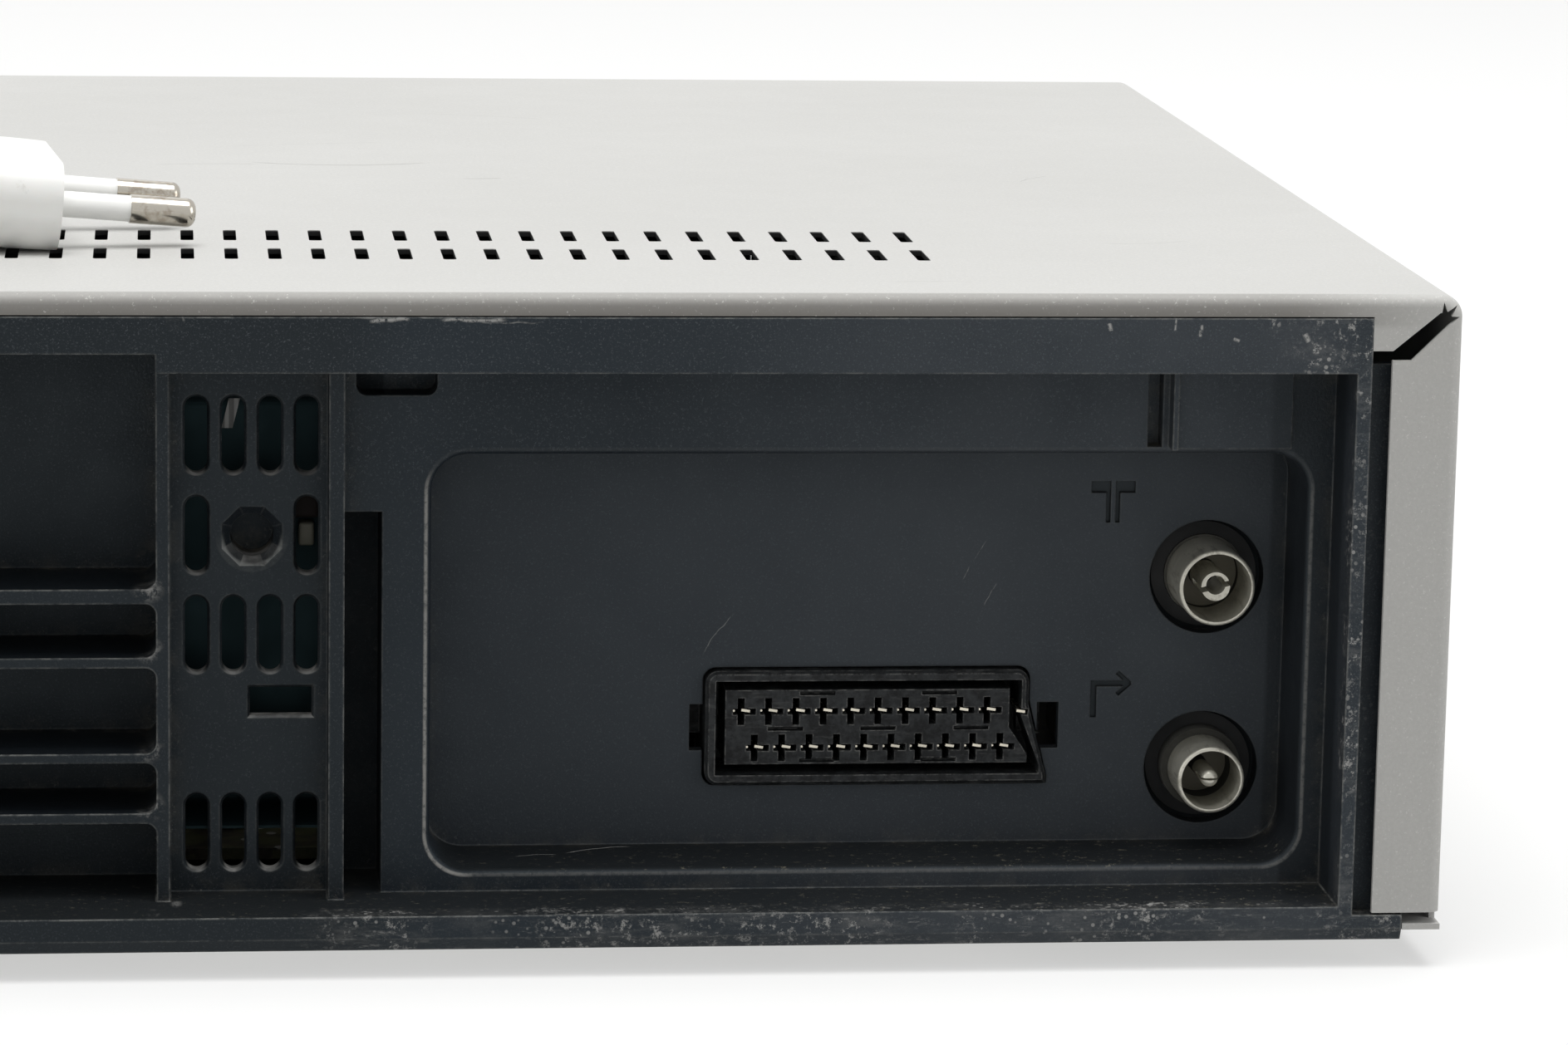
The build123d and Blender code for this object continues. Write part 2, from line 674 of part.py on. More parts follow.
board_top = board_level + board_thickness
tuner_front_inset = 31.0
tuner_length = 70.0
tuner_left = socket_x - 9.7
tuner_right = socket_x + 9.8
tuner_top = 61.0
barrel_rim_inset = 18.3
with BuildPart() as tuner_can:
    rear_box(
        tuner_left, tuner_right, board_top, tuner_top,
        tuner_front_inset, tuner_front_inset + tuner_length,
    )
    fillet(tuner_can.edges().filter_by(Axis.Y), 0.8)
    with BuildSketch(Plane.YZ.offset(tuner_right + 1)):
        with Locations((rear_y - tuner_front_inset - tuner_length / 2, 36)):
            with GridLocations(20, 0, 3, 1):
                SlotOverall(24, 5, rotation=90)
    extrude(amount=-1.6, mode=Mode.SUBTRACT)
save(tuner_can, "tuner_can")


def barrel(socket_z, outer_radius, bore_radius, base_radius, base_length):
    """Round aerial connector shell standing on the tuner's rear face, with a stepped base."""
    with BuildSketch(facing_rear(barrel_rim_inset)) as rim:
        with Locations((socket_x, socket_z)):
            Circle(outer_radius)
            Circle(bore_radius, mode=Mode.SUBTRACT)
    extrude(rim.sketch, amount=tuner_front_inset - barrel_rim_inset)
    with BuildSketch(facing_rear(tuner_front_inset - base_length)) as base:
        with Locations((socket_x, socket_z)):
            Circle(base_radius)
            Circle(bore_radius, mode=Mode.SUBTRACT)
    extrude(base.sketch, amount=base_length)


aerial_in_radius = 5.3
aerial_in_bore = 4.76
aerial_out_radius = 4.7
aerial_out_bore = 4.15
insulator_thickness = 1.4
with BuildPart() as aerial_in_barrel:
    barrel(aerial_in_z, aerial_in_radius, aerial_in_bore, aerial_base_radius, 2.4)
    fillet(aerial_in_barrel.faces().sort_by(Axis.Y)[-1].edges().sort_by(SortBy.LENGTH)[-1], 0.4)
save(aerial_in_barrel, "aerial_in_barrel")

with BuildPart() as aerial_out_barrel:
    barrel(aerial_out_z, aerial_out_radius, aerial_out_bore, aerial_base_radius, 4.6)
    fillet(aerial_out_barrel.faces().sort_by(Axis.Y)[-1].edges().sort_by(SortBy.LENGTH)[-1], 0.4)
save(aerial_out_barrel, "aerial_out_barrel")

contact_radius = 2.0
contact_bore = 1.35
contact_bore_lift = 0.22
contact_slit = (5.0, 0.75)
centre_pin_radius = 1.2
with BuildPart() as aerial_insulators:
    for socket_z, disc_radius, core in (
        (aerial_in_z, aerial_in_bore, contact_radius),
        (aerial_out_z, aerial_out_bore, centre_pin_radius),
    ):
        with BuildSketch(facing_rear(tuner_front_inset - insulator_thickness)):
            with Locations((socket_x, socket_z)):
                Circle(disc_radius - running_clearance)
                Circle(core + running_clearance, mode=Mode.SUBTRACT)
        extrude(amount=insulator_thickness)
save(aerial_insulators, "aerial_insulators")

with BuildPart() as aerial_in_contact:
    with BuildSketch(facing_rear(barrel_rim_inset + 1.2)):
        with Locations((socket_x, aerial_in_z)):
            Circle(contact_radius)
        with Locations((socket_x, aerial_in_z + contact_bore_lift)):
            Circle(contact_bore, mode=Mode.SUBTRACT)
    extrude(amount=tuner_front_inset - barrel_rim_inset - 1.2)
    with BuildSketch(facing_rear(barrel_rim_inset)):
        with Locations((socket_x, aerial_in_z)):
            Rectangle(*contact_slit, rotation=-14)
    extrude(amount=8, mode=Mode.SUBTRACT)
save(aerial_in_contact, "aerial_in_contact")

with BuildPart() as aerial_out_pin:
    with BuildSketch(facing_rear(barrel_rim_inset + 0.6)):
        with Locations((socket_x, aerial_out_z)):
            Circle(centre_pin_radius)
    extrude(amount=tuner_front_inset - barrel_rim_inset - 0.6)
    fillet(aerial_out_pin.faces().sort_by(Axis.Y)[-1].edges(), 0.8)
    rear_box(
        socket_x - 1.5, socket_x + 1.5, aerial_out_z - 0.15, aerial_out_z + 0.15,
        barrel_rim_inset, barrel_rim_inset + 5, Mode.SUBTRACT,
    )
save(aerial_out_pin, "aerial_out_pin")

scart_face_inset = recess_inset - scart_proud
scart_depth = 16.0
scart_wall = 1.4
scart_end_wall = 1.0
scart_block_gap = 1.4
scart_end_gap = 1.6
scart_rim_bevel = 0.45
scart_block_inset = scart_face_inset + 0.8
scart_floor_inset = scart_face_inset + 11.0
contact_pitch = 3.81
contact_columns = 10
top_contact_x = scart_right - 5.0
bottom_contact_x = scart_right - 6.9
top_contact_z = 30.65
bottom_contact_z = 25.5
contact_slot = (0.95, 3.8)
contact_bar = (3.2, 0.9)
bar_offset = -0.45
blade_size = (1.2, 0.36)
blade_tilt = 9.0
blade_offset = -0.7
dot_offset = 0.95
shell_notch = (2.0, 0.8)
latch_window = (4.9, 0.55)
latch_window_depth = 1.2
blade_setback = 0.7
shell_contact = (top_contact_x + blade_offset - contact_columns * contact_pitch - 0.12, top_contact_z)
latch_places = (
    (15.6, 33.2), (32.6, 33.2), (11.2, 28.2), (24.1, 28.2), (37.1, 28.2), (15.6, 23.7), (32.6, 23.7),
)

with BuildPart() as scart_housing:
    with BuildSketch(facing_rear(scart_face_inset)):
        rounded_scart_outline(0, 0)
    extrude(amount=scart_depth)
    chamfer(scart_housing.faces().sort_by(Axis.Y)[-1].edges(), scart_rim_bevel)
    with BuildSketch(facing_rear(scart_face_inset)):
        scart_outline(scart_wall, scart_end_wall)
    extrude(amount=scart_floor_inset - scart_face_inset, mode=Mode.SUBTRACT)
    with BuildSketch(facing_rear(scart_block_inset)):
        scart_outline(scart_wall + scart_block_gap, scart_end_wall + scart_end_gap)
    extrude(amount=scart_floor_inset - scart_block_inset + 1)
    with BuildSketch(facing_rear(scart_block_inset)):
        for column in range(contact_columns):
            with Locations(
                (top_contact_x - column * contact_pitch, top_contact_z),
                (bottom_contact_x - column * contact_pitch, bottom_contact_z),
            ):
                Rectangle(*contact_slot)
            with Locations(
                (top_contact_x + bar_offset - column * contact_pitch, top_contact_z),
                (bottom_contact_x + bar_offset - column * contact_pitch, bottom_contact_z),
            ):
                Rectangle(*contact_bar)
    extrude(amount=scart_floor_inset - scart_block_inset, mode=Mode.SUBTRACT)
    # notch of the shell's own contact, and the windows of the contacts' latches
    with BuildSketch(facing_rear(scart_face_inset)):
        with Locations(shell_contact):
            Rectangle(*shell_notch, rotation=blade_tilt)
    extrude(amount=scart_floor_inset - scart_face_inset, mode=Mode.SUBTRACT)
    with BuildSketch(facing_rear(scart_block_inset)):
        with Locations(*[(scart_right - across, latch_z) for across, latch_z in latch_places]):
            Rectangle(*latch_window)
    extrude(amount=latch_window_depth, mode=Mode.SUBTRACT)
    # clips that lock the housing in the panel
    for clip_left, clip_right in (
        (scart_right - 0.1, scart_right + 1.6), (scart_left - 0.2, scart_left + 3.0),
    ):
        rear_box(clip_left, clip_right, 26.0, 30.6, recess_inset + wall + 5, recess_inset + wall + 10)
save(scart_housing, "scart_housing")

with BuildPart() as scart_contacts:
    with BuildSketch(facing_rear(scart_block_inset + blade_setback)):
        for column in range(contact_columns):
            with Locations(
                (top_contact_x + blade_offset - column * contact_pitch, top_contact_z),
                (bottom_contact_x + blade_offset - column * contact_pitch, bottom_contact_z),
            ):
                Rectangle(*blade_size, rotation=blade_tilt)
            with Locations(
                (top_contact_x + dot_offset - column * contact_pitch, top_contact_z),
                (bottom_contact_x + dot_offset - column * contact_pitch, bottom_contact_z),
            ):
                Circle(0.16)
    extrude(amount=scart_floor_inset - scart_block_inset - blade_setback)
    with BuildSketch(facing_rear(scart_face_inset + 0.1)):
        with Locations(shell_contact):
            Rectangle(*blade_size, rotation=blade_tilt)
    extrude(amount=scart_floor_inset - scart_face_inset - 0.1)
save(scart_contacts, "scart_contacts")

transformer_centre = (half_width - 62, rear_y - 80)
core_size = (46.0, 38.0)
core_height = 32.0
winding_size = (32.0, 50.0)
winding_height = 20.0
with BuildPart() as power_transformer:
    with BuildSketch(level(board_top)):
        with Locations(transformer_centre):
            Rectangle(*core_size)
    extrude(amount=core_height)
    with BuildSketch(level(board_top + (core_height - winding_height) / 2)):
        with Locations(transformer_centre):
            Rectangle(*winding_size)
    extrude(amount=winding_height)
    fillet(power_transformer.edges().filter_by(Axis.Z), 1.2)
save(power_transformer, "power_transformer")

capacitor_centre = (half_width - 30, 20.0)
capacitor_radius = 12.0
capacitor_height = 38.0
with BuildPart() as smoothing_capacitor:
    with BuildSketch(level(board_top)):
        with Locations(capacitor_centre):
            Circle(capacitor_radius)
    extrude(amount=capacitor_height)
    fillet(smoothing_capacitor.edges().group_by(Axis.Z)[-1], 1.2)
save(smoothing_capacitor, "smoothing_capacitor")

heat_sink_centre = (half_width - 62, -14.0)
heat_sink_base = (60.0, 3.0)
heat_sink_fin = (1.6, 16.0)
fin_pitch = 7.0
fin_count = 9
heat_sink_height = 42.0
with BuildPart() as heat_sink:
    with BuildSketch(level(board_top)):
        with Locations(heat_sink_centre):
            Rectangle(*heat_sink_base)
            with GridLocations(fin_pitch, 0, fin_count, 1):
                Rectangle(*heat_sink_fin)
    extrude(amount=heat_sink_height)
save(heat_sink, "heat_sink")

ribbon_left = -29.6
ribbon_width = 5.5
ribbon_thickness = 0.6
ribbon_end_gap = 0.4
ribbon_top = cover_inner_top - 13.0
ribbon_path = (
    (deck_rear_y + 4, board_top + ribbon_end_gap), (deck_rear_y + 5, 40), (deck_rear_y + 9, 60),
    (deck_rear_y + 8, ribbon_top - 1), (deck_rear_y + 1.5, ribbon_top), (deck_rear_y + 0.5, 60),
    (deck_rear_y - 2, deck_level + ribbon_end_gap),
)
with BuildPart() as ribbon_cable:
    with BuildSketch(Plane.YZ.offset(ribbon_left)):
        with BuildLine():
            FilletPolyline(*ribbon_path, radius=2.5)
            offset(amount=ribbon_thickness / 2, side=Side.BOTH)
        make_face()
    extrude(amount=ribbon_width)
save(ribbon_cable, "ribbon_cable")

# ---- Tape deck ----
holder_slot_gap = 1.0
holder_sheet = 1.0
holder_ledge = 8.0
slide_gap = 0.5
slide_sheet = 1.5
cassette_loaded_level = 37.5
lift_travel = cassette_up_level - cassette_loaded_level
slide_travel = 70.0
holder_front_y = front_y + 34.5
holder_inner_y = holder_front_y + 54.5
guide_pin_radius = 1.5
pin_slot_gap = 0.2
pin_end_gap = 0.6
guide_pin_y = (holder_front_y + 9.0, holder_inner_y - 9.0)
guide_pin_z = cassette_up_level + 16.5
stud_z = cassette_up_level + 23.0
bracket_top = cassette_up_level + 27.5
holder_inside = cassette_width / 2 + holder_slot_gap
holder_outside = holder_inside + holder_sheet
slide_inside = holder_outside + slide_gap
slide_outside = slide_inside + slide_sheet
bracket_inside = slide_outside + slide_gap
bracket_outside = bracket_inside + slide_sheet
holder_bottom = cassette_up_level - holder_sheet
holder_top = cassette_up_level + cassette_thickness + holder_slot_gap / 2
holder_mid_y = (holder_front_y + holder_inner_y) / 2
holder_length = holder_inner_y - holder_front_y
slide_rear_y = holder_inner_y + slide_travel + 13.0

drum_y = 58.0
drum_radius = 31.0
drum_tilt = 5.0
drum_shaft_radius = 3.0
drum_split_level = 46.8
head_drum_height = 14.0
rotor_radius = 20.0
rotor_thickness = 4.0
rotor_level = 18.0
reel_spacing = 92.0
reel_y = -50.0
reel_radius = 30.0
reel_thickness = 4.0
reel_level = deck_level + 1.6
spindle_pin_radius = 2.0
spindle_pin_top = 44.0
idler_arm_length = 24.0
idler_radius = 12.0
idler_y = reel_y + idler_arm_length
idler_shaft_radius = 2.0
pulley_radius = 11.0
pulley_level = 16.0
pulley_thickness = 5.0
flywheel_top = 25.0
belt_width = 3.0
belt_thickness = 1.0
capstan_x = deck_x + 66.0
capstan_y = 33.0
capstan_radius = 1.5
capstan_top = 62.0
flywheel_radius = 28.0
capstan_boss_radius = 3.4
pinch_x = deck_x + 84.0
pinch_y = 50.0
pinch_roller_x = deck_x + 80.0
pinch_roller_y = 27.0
pinch_roller_radius = 6.5
pinch_arm_level = 33.0
tension_x = deck_x - 78.0
tension_y = -2.0
tension_post_x = deck_x - 58.0
tension_post_y = 24.0
guide_start = (30.0, 14.0)
guide_end = (44.0, 62.0)
guide_slot_width = 5.0
guide_post_radius = 2.5
guide_base = (11.0, 13.0, 5.0)
post_top = 59.0
cam_x = deck_x - 76.0
cam_y = 62.0
gear_module = 0.8
cam_teeth = 48
pinion_teeth = 12
mesh_angle = 225.0
cam_level = deck_level + 2.0
cam_thickness = 4.0
shaft_radius = 2.0
motor_radius = 11.0
motor_bottom = 37.0
motor_height = 24.0
gear_distance = gear_module * (cam_teeth + pinion_teeth) / 2
motor_x = cam_x + gear_distance * cos(radians(mesh_angle))
motor_y = cam_y + gear_distance * sin(radians(mesh_angle))


def upright_pin(x, y, radius, bottom, top, mode=Mode.ADD):
    """Vertical round pin, or hole, between two levels."""
    with BuildSketch(level(bottom)) as disc:
        with Locations((x, y)):
            Circle(radius)
    extrude(disc.sketch, amount=top - bottom, mode=mode)


def deck_box(left, right, front, rear, bottom, top, mode=Mode.ADD):
    """Box between two levels."""
    with BuildSketch(level(bottom)) as plate:
        with Locations(((left + right) / 2, (front + rear) / 2)):
            Rectangle(right - left, rear - front)
    extrude(plate.sketch, amount=top - bottom, mode=mode)


guide_run = hypot(guide_end[0] - guide_start[0], guide_end[1] - guide_start[1])
guide_angle = degrees(atan2(guide_end[1] - guide_start[1], guide_end[0] - guide_start[0]))
guide_mid = ((guide_start[0] + guide_end[0]) / 2, (guide_start[1] + guide_end[1]) / 2)

with BuildPart() as deck_plate:
    deck_box(
        deck_x - deck_half_width, deck_x + deck_half_width, deck_front_y, deck_rear_y,
        deck_level - deck_thickness, deck_level,
    )
    fillet(deck_plate.edges().filter_by(Axis.Z), 6)
    upright_pin(deck_x, drum_y, 12, deck_level - 5, deck_level + 1, Mode.SUBTRACT)
    for side in (-1, 1):
        slot_angle = guide_angle if side > 0 else 180 - guide_angle
        with BuildSketch(level(deck_level - deck_thickness - 1)):
            with Locations((deck_x + side * guide_mid[0], guide_mid[1])):
                SlotCenterToCenter(guide_run + 2, guide_slot_width, rotation=slot_angle)
        extrude(amount=deck_thickness + 2, mode=Mode.SUBTRACT)
        upright_pin(
            deck_x + side * reel_spacing / 2, reel_y, spindle_pin_radius, deck_level, spindle_pin_top,
        )
        upright_pin(deck_x + side * reel_spacing / 2, reel_y, 5, deck_level, reel_level - 0.1)
        deck_box(
            deck_x + side * 22 - 12, deck_x + side * 22 + 12, deck_front_y + 8, deck_front_y + 26,
            deck_level - 3, deck_level + 1, Mode.SUBTRACT,
        )
    upright_pin(capstan_x, capstan_y, capstan_boss_radius, deck_level, deck_level + 8)
    upright_pin(capstan_x, capstan_y, capstan_radius + running_clearance, 0, 60, Mode.SUBTRACT)
    upright_pin(deck_x, idler_y, idler_shaft_radius + running_clearance, 0, 60, Mode.SUBTRACT)
    upright_pin(cam_x, cam_y, shaft_radius, deck_level, cam_level + cam_thickness + 1)
    upright_pin(pinch_x, pinch_y, shaft_radius, deck_level, 62)
    upright_pin(pinch_x, pinch_y, 4, deck_level, pinch_arm_level - 0.2)
    upright_pin(tension_x, tension_y, shaft_radius, deck_level, deck_level + 8)
save(deck_plate, "deck_plate")

with BuildPart() as lift_brackets:
    for side in (-1, 1):
        bracket_left = min(side * bracket_inside, side * bracket_outside) + deck_x
        deck_box(
            bracket_left, bracket_left + slide_sheet, deck_front_y + 2, slide_rear_y,
            deck_level, bracket_top,
        )
        foot_left = min(side * bracket_inside, side * (deck_half_width - 1)) + deck_x
        deck_box(
            foot_left, foot_left + deck_half_width - 1 - bracket_inside, deck_front_y + 16,
            slide_rear_y - 4,
            deck_level, deck_level + slide_sheet,
        )
    with BuildSketch(Plane.YZ.offset(deck_x - bracket_outside - 1)):
        slot_front = guide_pin_y[0] - guide_pin_radius - 1
        slot_rear = guide_pin_y[1] + slide_travel + guide_pin_radius + 1
        with Locations(((slot_front + slot_rear) / 2, stud_z)):
            SlotOverall(slot_rear - slot_front, 2 * (guide_pin_radius + pin_slot_gap))
        with Locations((holder_mid_y + slide_travel / 2, (deck_level + cassette_up_level) / 2 + 4)):
            with GridLocations(44, 0, 2, 1):
                RectangleRounded(28, 18, 4)
    extrude(amount=2 * bracket_outside + 2, mode=Mode.SUBTRACT)
save(lift_brackets, "lift_brackets")

with BuildPart() as holder_slides:
    for side in (-1, 1):
        slide_left = min(side * slide_inside, side * slide_outside) + deck_x
        deck_box(
            slide_left, slide_left + slide_sheet, holder_front_y, holder_inner_y,
            guide_pin_z - lift_travel - 5, stud_z + 3,
        )
        for stud_y in guide_pin_y:
            with BuildSketch(Plane.YZ.offset(deck_x + side * (slide_inside + slide_sheet / 2))):
                with Locations((stud_y, stud_z)):
                    Circle(guide_pin_radius)
            extrude(amount=side * (slide_sheet / 2 + slide_gap + slide_sheet * 0.8))
    for side in (-1, 1):
        with BuildSketch(Plane.YZ.offset(deck_x + side * (slide_inside - gap))):
            for pin_y in guide_pin_y:
                with Locations((pin_y, guide_pin_z - lift_travel / 2)):
                    SlotCenterToCenter(
                        lift_travel + pin_end_gap, 2 * (guide_pin_radius + pin_slot_gap), rotation=90,
                    )
        extrude(amount=side * (slide_sheet + 2 * gap), mode=Mode.SUBTRACT)
save(holder_slides, "holder_slides")

with BuildPart() as cassette_holder:
    deck_box(
        deck_x - holder_outside, deck_x + holder_outside, holder_front_y, holder_inner_y,
        holder_top, holder_top + holder_sheet,
    )
    with BuildSketch(level(holder_top - 1)):
        with Locations((deck_x, holder_mid_y)):
            RectangleRounded(60, holder_length - 26, 5)
            with GridLocations(130, 0, 2, 1):
                RectangleRounded(34, holder_length - 30, 4)
    extrude(amount=holder_sheet + 2, mode=Mode.SUBTRACT)
    for side in (-1, 1):
        wall_left = min(side * holder_inside, side * holder_outside) + deck_x
        deck_box(
            wall_left, wall_left + holder_sheet, holder_front_y, holder_inner_y,
            holder_bottom, holder_top + holder_sheet,
        )
        ledge_left = min(side * holder_outside, side * (holder_inside - holder_ledge)) + deck_x
        deck_box(
            ledge_left, ledge_left + holder_ledge + holder_sheet, holder_front_y, holder_inner_y,
            holder_bottom, cassette_up_level,
        )
        stop_left = min(side * holder_outside, side * (holder_inside - 12)) + deck_x
        deck_box(
            stop_left, stop_left + 12 + holder_sheet, holder_inner_y - holder_sheet, holder_inner_y,
            holder_top - 6, holder_top + holder_sheet,
        )
        for pin_y in guide_pin_y:
            with BuildSketch(Plane.YZ.offset(deck_x + side * (holder_inside + holder_sheet / 2))):
                with Locations((pin_y, guide_pin_z)):
                    Circle(guide_pin_radius)
            extrude(amount=side * (holder_sheet / 2 + slide_gap + slide_sheet))
save(cassette_holder, "cassette_holder")

# the drum leans towards +X by its helix angle
drum_plane = Plane(
    origin=(deck_x, drum_y, drum_split_level),
    x_dir=(cos(radians(drum_tilt)), 0, -sin(radians(drum_tilt))),
    z_dir=(sin(radians(drum_tilt)), 0, cos(radians(drum_tilt))),
)
with BuildPart() as drum_base:
    with BuildSketch(level(deck_level)):
        with Locations((deck_x, drum_y)):
            Circle(drum_radius + 3)
    extrude(amount=5)
    with BuildSketch(drum_plane.offset(-1.2)):
        Circle(drum_radius)
    extrude(amount=-12.5)
    with BuildSketch(drum_plane.offset(-13)):
        Circle(10)
    extrude(amount=-9)
    with BuildSketch(drum_plane.offset(2)):
        Circle(drum_shaft_radius + running_clearance)
    extrude(amount=-40, mode=Mode.SUBTRACT)
save(drum_base, "drum_base")

rotor_drop = drum_split_level - rotor_level
with BuildPart() as head_drum:
    with BuildSketch(drum_plane.offset(-0.9)):
        Circle(drum_radius)
    extrude(amount=head_drum_height)
    with BuildSketch(drum_plane.offset(head_drum_height - 0.9 - 3)):
        Circle(drum_radius - 4)
        Circle(9, mode=Mode.SUBTRACT)
    extrude(amount=4, mode=Mode.SUBTRACT)
    with BuildSketch(drum_plane.offset(-rotor_drop)):
        Circle(drum_shaft_radius)
    extrude(amount=rotor_drop)
    with BuildSketch(drum_plane.offset(-rotor_drop - rotor_thickness / 2)):
        Circle(rotor_radius)
        with PolarLocations(rotor_radius - 6, 6):
            Circle(3, mode=Mode.SUBTRACT)
    extrude(amount=rotor_thickness)
    with BuildSketch(drum_plane.offset(-0.9)):
        with PolarLocations(drum_radius, 4):
            Rectangle(1.6, 2.4)
    extrude(amount=1.2, mode=Mode.SUBTRACT)
save(head_drum, "head_drum")

for side, reel_name in ((-1, "supply_reel"), (1, "take_up_reel")):
    with BuildPart() as reel:
        reel_x = deck_x + side * reel_spacing / 2
        upright_pin(reel_x, reel_y, reel_radius, reel_level, reel_level + reel_thickness)
        upright_pin(reel_x, reel_y, 13, reel_level, reel_level + reel_thickness + 3)
        upright_pin(reel_x, reel_y, 7, reel_level, 50)
        fillet(reel.edges().group_by(Axis.Z)[-1], 2.5)
        with BuildSketch(level(reel_level)):
            with Locations((reel_x, reel_y)):
                with PolarLocations(8, 3):
                    Rectangle(6, 1.8)
        extrude(amount=17)
        upright_pin(
            reel_x, reel_y, spindle_pin_radius + running_clearance, reel_level - 1, spindle_pin_top + 1,
            Mode.SUBTRACT,
        )
        with BuildSketch(level(reel_level + reel_thickness)):
            with Locations((reel_x, reel_y)):
                with PolarLocations(21, 6):
                    Circle(4)
        extrude(amount=-reel_thickness, mode=Mode.SUBTRACT)
    save(reel, reel_name)

arm_thickness = 2.0
with BuildPart() as clutch_pulley:
    upright_pin(deck_x, idler_y, pulley_radius, pulley_level, pulley_level + pulley_thickness)
    with BuildSketch(Plane.XZ.offset(-idler_y)):
        with Locations((deck_x + pulley_radius, pulley_level + pulley_thickness / 2)):
            Rectangle(2 * belt_thickness, belt_width + 2 * running_clearance)
    revolve(axis=Axis((deck_x, idler_y, 0), (0, 0, 1)), mode=Mode.SUBTRACT)
    upright_pin(deck_x, idler_y, idler_shaft_radius, pulley_level, deck_level + 8)
save(clutch_pulley, "clutch_pulley")

with BuildPart() as idler_arm:
    upright_pin(deck_x, idler_y, 5, deck_level + 0.3, deck_level + 0.3 + arm_thickness)
    deck_box(
        deck_x - 3, deck_x + 3, reel_y, idler_y, deck_level + 0.3, deck_level + 0.3 + arm_thickness,
    )
    upright_pin(deck_x, reel_y, 3, deck_level + 0.3, deck_level + 0.3 + arm_thickness)
    upright_pin(deck_x, reel_y, 1.5, deck_level + 0.3, deck_level + 8)
    upright_pin(
        deck_x, idler_y, idler_shaft_radius + running_clearance, deck_level, deck_level + 9, Mode.SUBTRACT,
    )
save(idler_arm, "idler_arm")

with BuildPart() as idler_wheel:
    upright_pin(deck_x, reel_y, idler_radius, deck_level + 2.7, deck_level + 6.2)
    fillet(idler_wheel.edges().filter_by(GeomType.CIRCLE), 0.6)
    upright_pin(deck_x, reel_y, 4, deck_level + 2.5, deck_level + 7)
    upright_pin(deck_x, reel_y, 1.5 + running_clearance, deck_level, deck_level + 9, Mode.SUBTRACT)
save(idler_wheel, "idler_wheel")

with BuildPart() as capstan_flywheel:
    upright_pin(capstan_x, capstan_y, capstan_radius, pulley_level, capstan_top)
    upright_pin(
        capstan_x, capstan_y, flywheel_radius, pulley_level + pulley_thickness, flywheel_top,
    )
    upright_pin(capstan_x, capstan_y, pulley_radius, pulley_level, pulley_level + pulley_thickness)
    with BuildSketch(Plane.XZ.offset(-capstan_y)):
        with Locations((capstan_x + pulley_radius, pulley_level + pulley_thickness / 2)):
            Rectangle(2 * belt_thickness, belt_width + 2 * running_clearance)
    revolve(axis=Axis((capstan_x, capstan_y, 0), (0, 0, 1)), mode=Mode.SUBTRACT)
save(capstan_flywheel, "capstan_flywheel")

belt_run = hypot(capstan_x - deck_x, capstan_y - idler_y)
belt_angle = degrees(atan2(capstan_y - idler_y, capstan_x - deck_x))
belt_inner_radius = pulley_radius - belt_thickness + running_clearance
with BuildPart() as drive_belt:
    with BuildSketch(level(pulley_level + (pulley_thickness - belt_width) / 2)):
        with Locations(((capstan_x + deck_x) / 2, (capstan_y + idler_y) / 2)):
            SlotCenterToCenter(belt_run, 2 * (belt_inner_radius + belt_thickness), rotation=belt_angle)
            SlotCenterToCenter(
                belt_run, 2 * belt_inner_radius, rotation=belt_angle, mode=Mode.SUBTRACT,
            )
    extrude(amount=belt_width)
save(drive_belt, "drive_belt")


def link(start_x, start_y, end_x, end_y, width, bottom, top):
    """Flat lever between two centres, with round ends."""
    length = hypot(end_x - start_x, end_y - start_y)
    angle = degrees(atan2(end_y - start_y, end_x - start_x))
    with BuildSketch(level(bottom)) as lever:
        with Locations(((start_x + end_x) / 2, (start_y + end_y) / 2)):
            SlotCenterToCenter(length, width, rotation=angle)
    extrude(lever.sketch, amount=top - bottom)


roller_bottom = 39.0
roller_top = 59.0
with BuildPart() as pinch_arm:
    link(
        pinch_x, pinch_y, pinch_roller_x, pinch_roller_y, 9,
        pinch_arm_level, pinch_arm_level + arm_thickness,
    )
    upright_pin(pinch_x, pinch_y, 4, pinch_arm_level, 58)
    upright_pin(pinch_roller_x, pinch_roller_y, 1.5, pinch_arm_level, roller_top + 1.5)
    upright_pin(pinch_x, pinch_y, shaft_radius + running_clearance, 0, 70, Mode.SUBTRACT)
save(pinch_arm, "pinch_arm")

with BuildPart() as pinch_roller:
    upright_pin(pinch_roller_x, pinch_roller_y, pinch_roller_radius, roller_bottom, roller_top)
    fillet(pinch_roller.edges(), 0.6)
    upright_pin(
        pinch_roller_x, pinch_roller_y, 1.5 + running_clearance, roller_bottom - 1, roller_top + 1,
        Mode.SUBTRACT,
    )
save(pinch_roller, "pinch_roller")

tension_level = deck_level + 1.0
with BuildPart() as tension_arm:
    link(
        tension_x, tension_y, tension_post_x, tension_post_y, 7,
        tension_level, tension_level + arm_thickness,
    )
    upright_pin(tension_x, tension_y, 4, tension_level, tension_level + 5)
    upright_pin(tension_post_x, tension_post_y, guide_post_radius, tension_level, post_top)
    upright_pin(tension_x, tension_y, shaft_radius + running_clearance, 0, 60, Mode.SUBTRACT)
save(tension_arm, "tension_arm")

head_bottom = 42.0
head_top = 57.0
with BuildPart() as erase_head:
    deck_box(deck_x - 64, deck_x - 54, 36, 43, head_bottom, head_top)
    fillet(erase_head.edges().filter_by(Axis.Z), 1.5)
    deck_box(deck_x - 62, deck_x - 56, 38, 42, deck_level, head_bottom)
save(erase_head, "erase_head")

